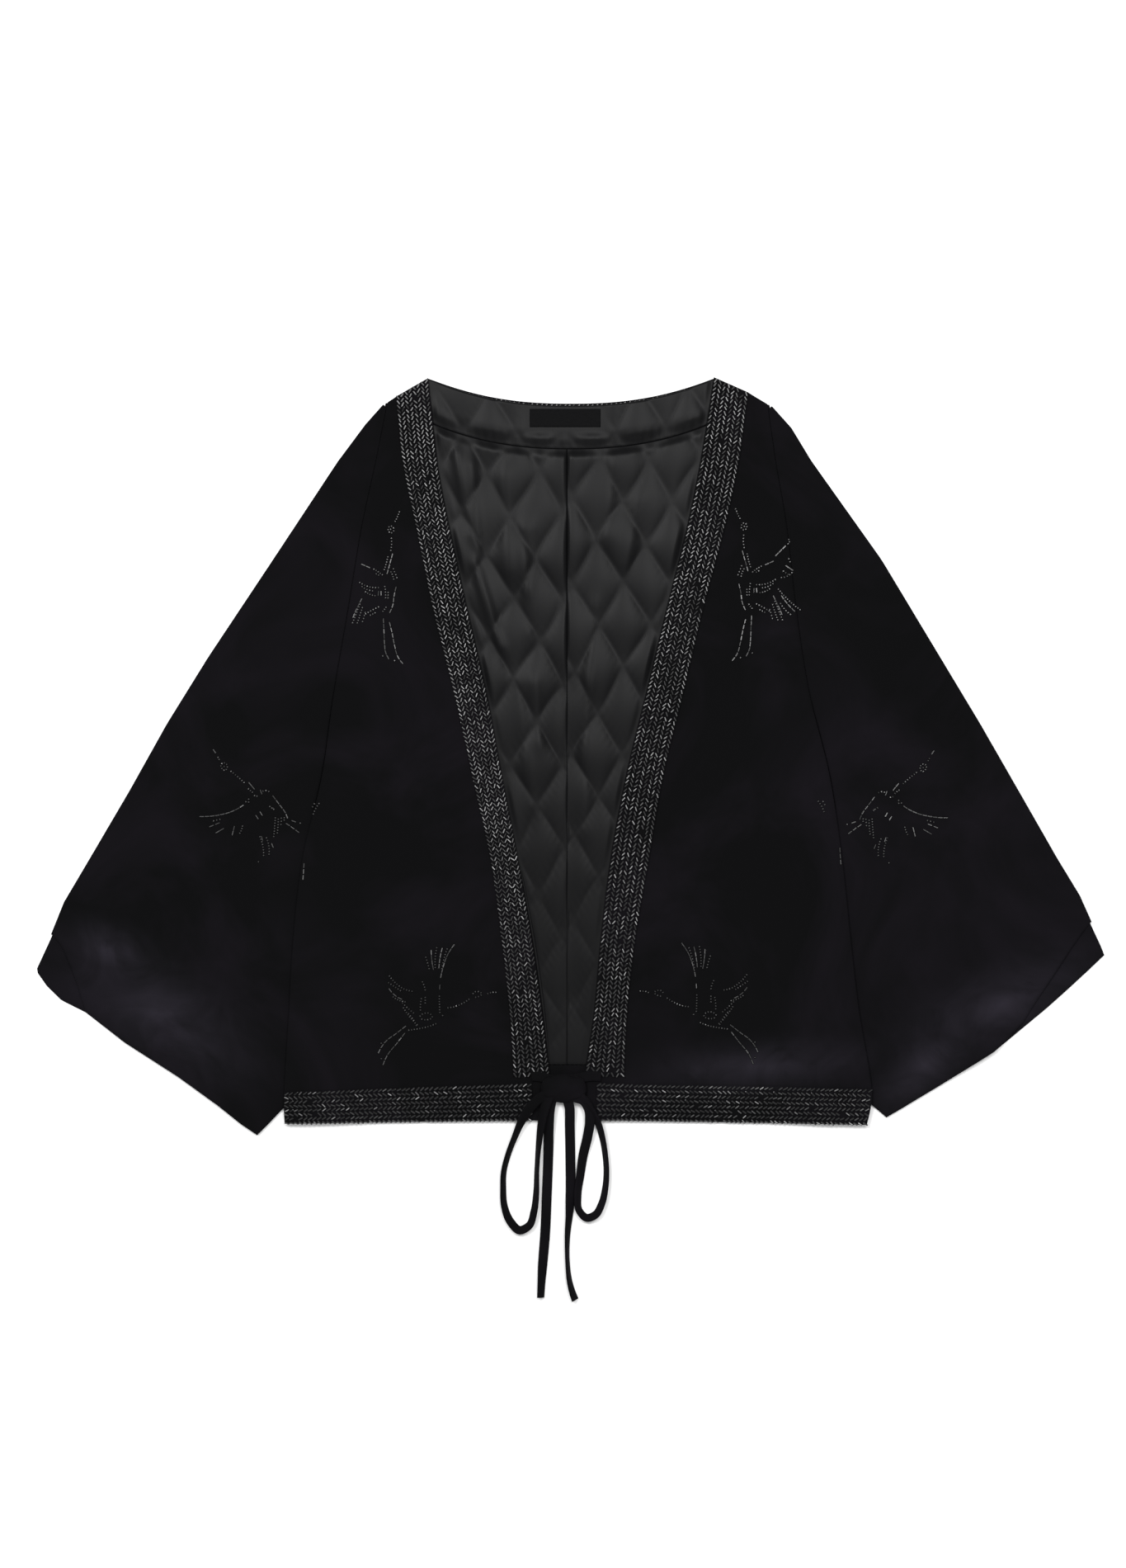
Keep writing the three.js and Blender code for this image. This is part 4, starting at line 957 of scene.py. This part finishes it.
landing_crane = [
    ("bugle", 15, 57, 9, 48, 5, 37, 3, 28), ("seed", 9, 54, 6, 45, 4, 35),
    ("bugle", 4.5, 54, 2.5, 45, 1.5, 36), ("seed", 0, 55, -1.5, 46, -1.5, 36),
    ("bugle", -5, 52, -4.5, 44, -3, 35), ("seed", -10, 47, -8, 41, -6.5, 35), ("bugle", 2.5, 24, 2, 17),
    ("seed", 2, 14, 2, 6, 2.5, -2), ("seed", 5, -2, 4.5, -5), ("seed", -13, 26, -11, 22, -10, 17),
    ("seed", -13, 12, -14, 6, -14, 0), ("seed", -10, 13, -10, 6), ("seed", 8, 3, 15, 4, 22, 7, 28, 11),
    ("seed", 30, 14, 32, 16.5, 36, 16.5, 38, 15, 35, 12.5, 31.5, 12), ("seed", 42, 14.5, 46, 16, 51, 16),
    ("seed", -41, 31, -35, 24, -28, 19, -20, 17), ("seed", -42, 25, -36, 21, -30, 17),
    ("bugle", -41, 20, -36, 14, -29, 10), ("seed", -38, 13, -31, 9, -26, 8),
    ("seed", -30, 8, -25, 3, -19, -2), ("seed", -29, 4, -22, -6, -16, -12),
    ("seed", -25, -1, -19, -9, -17, -13), ("seed", -15, -5, -12, -2, -6, -2, -4, -5, -8, -7, -14, -6),
    ("seed", 0, -10, -8, -13, -18, -15, -25, -16), ("bugle", -26, -12, -35, -19, -43, -25, -50, -36),
    ("bugle", -27, -18, -34, -27, -42, -37, -46, -46), ("seed", -47, -26, -47.5, -28),
    ("seed", -47, -39, -47.5, -41),
]
stray_row = [
    ("seed", 4, 6, 0, 0, -2, -5), ("seed", 0, 6, -3, 1),
]
stray_line = [
    ("bugle", 1, 9, 0.5, 0, 0, -6),
]
# Profile, length, radius and pitch of each kind of bead, and how high its middle is, in
# radii, as it sinks into the pile
crane_kinds = {
    "seed": (seed_profile, 0.0016, 0.00085, 0.0024), "bugle": (bugle_profile, 0.0043, 0.00074, 0.0047),
}
sunk_height = 0.55


def crane_beads(strokes, place, mirror, height):
    """Beads along each stroke, set at equal distances and lying on the velvet."""
    parts = []
    for kind, *stroke in strokes:
        profile, length, radius, pitch = crane_kinds[kind]
        drawn = np.reshape(stroke, (-1, 2)) * [mirror * 0.001, 0.001] + place
        if len(drawn) > 2:
            path = smooth_line(drawn, 0.0004)
        else:
            path = lerp(drawn[0], drawn[1], np.linspace(0, 1, 30)[:, None])
        run = run_along(path)
        count = max(1, round(run[-1] / pitch))
        at = (np.arange(count) + 0.5) * run[-1] / count
        way = way_at(path, run, at, 0.001)
        if kind == "seed":
            way = paired(-way[:, 1], way[:, 0])
        along = np.column_stack([way, luck.normal(0, 0.06, count)])
        x, y = xy(on_line(path, run, at))
        centre = np.column_stack([x, y, height(x, y) + sunk_height * radius])
        parts.append(beads(profile, centre, along, [0, 0, 1], length, radius))
    return joined(parts)


for name, strokes, *place in (
    ("crane_front_left_high", rising_crane, -0.1585, 0.148),
    ("crane_front_right_high", rising_crane + spread_wing, 0.1535, 0.1505),
    ("crane_sleeve_left", gliding_crane, -0.2635, -0.041),
    ("crane_sleeve_right", gliding_crane, 0.269, -0.042),
    ("crane_front_left_low", landing_crane, -0.113, -0.216),
    ("crane_front_right_low", landing_crane, 0.109, -0.215),
    ("stray_beads_left_high", stray_row, -0.216, -0.045),
    ("stray_beads_left_low", stray_line, -0.2265, -0.099),
    ("stray_beads_right_high", stray_row, 0.213, -0.043),
    ("stray_beads_right_low", stray_line, 0.229, -0.086),
):
    side, mirror = ("left", 1) if place[0] < 0 else ("right", -1)

    def cloth_top(x, y):
        """The top of the sleeve's upper layer or of the front."""
        if "sleeve" in name:
            return 2 * velvet_wall + seam_gap + sleeve_folds(x, y)
        return front_height(side, x, y) + velvet_wall

    bird = crane_beads(strokes, place, mirror, cloth_top)
    add_piece(name, bird, bead_glass, [], rounded=False)


# Floor and light: matt white paper under two soft lamps beyond the shoulders, the left
# one stronger, and a faint one past the hem, just enough for the paper to come out white.
floor_paint, tree = new_material("matt_white_paper")[:2]
surface(tree, {"Base Color": linear("#f8f8f8"), "Roughness": 0.95, "Specular IOR Level": 0.1})
floor_mesh = bpy.data.meshes.new("floor")
floor_half = 6
corners = [(x * floor_half, y * floor_half, 0) for x, y in ((-1, -1), (1, -1), (1, 1), (-1, 1))]
floor_mesh.from_pydata(corners, [], [(0, 1, 2, 3)])
floor_mesh.materials.append(floor_paint)
floor = bpy.data.objects.new("floor", floor_mesh)
floor.location.z = -0.0002
bpy.context.collection.objects.link(floor)

for name, place, size, power in (
    ("lamp_upper_left", (-1.1, 1.15, 3.3), 1.0, 74),
    ("lamp_upper_right", (0.55, 0.9, 3.5), 1.0, 62),
    ("lamp_foot", (0.2, -2.0, 3.0), 1.4, 14),
):
    lamp = bpy.data.lights.new(name, "AREA")
    lamp.shape = "SQUARE"
    lamp.size = size
    lamp.energy = power
    lamp_object = bpy.data.objects.new(name, lamp)
    lamp_object.location = place
    lamp_object.rotation_euler = lamp_object.location.to_track_quat("Z", "Y").to_euler()
    bpy.context.collection.objects.link(lamp_object)

world = bpy.data.worlds.new("studio")
world.use_nodes = True
sky = world.node_tree.nodes["Background"].inputs
sky["Color"].default_value = linear("#ffffff")
sky["Strength"].default_value = 0.45
bpy.context.scene.world = world
bpy.context.scene.view_settings.view_transform = "Standard"
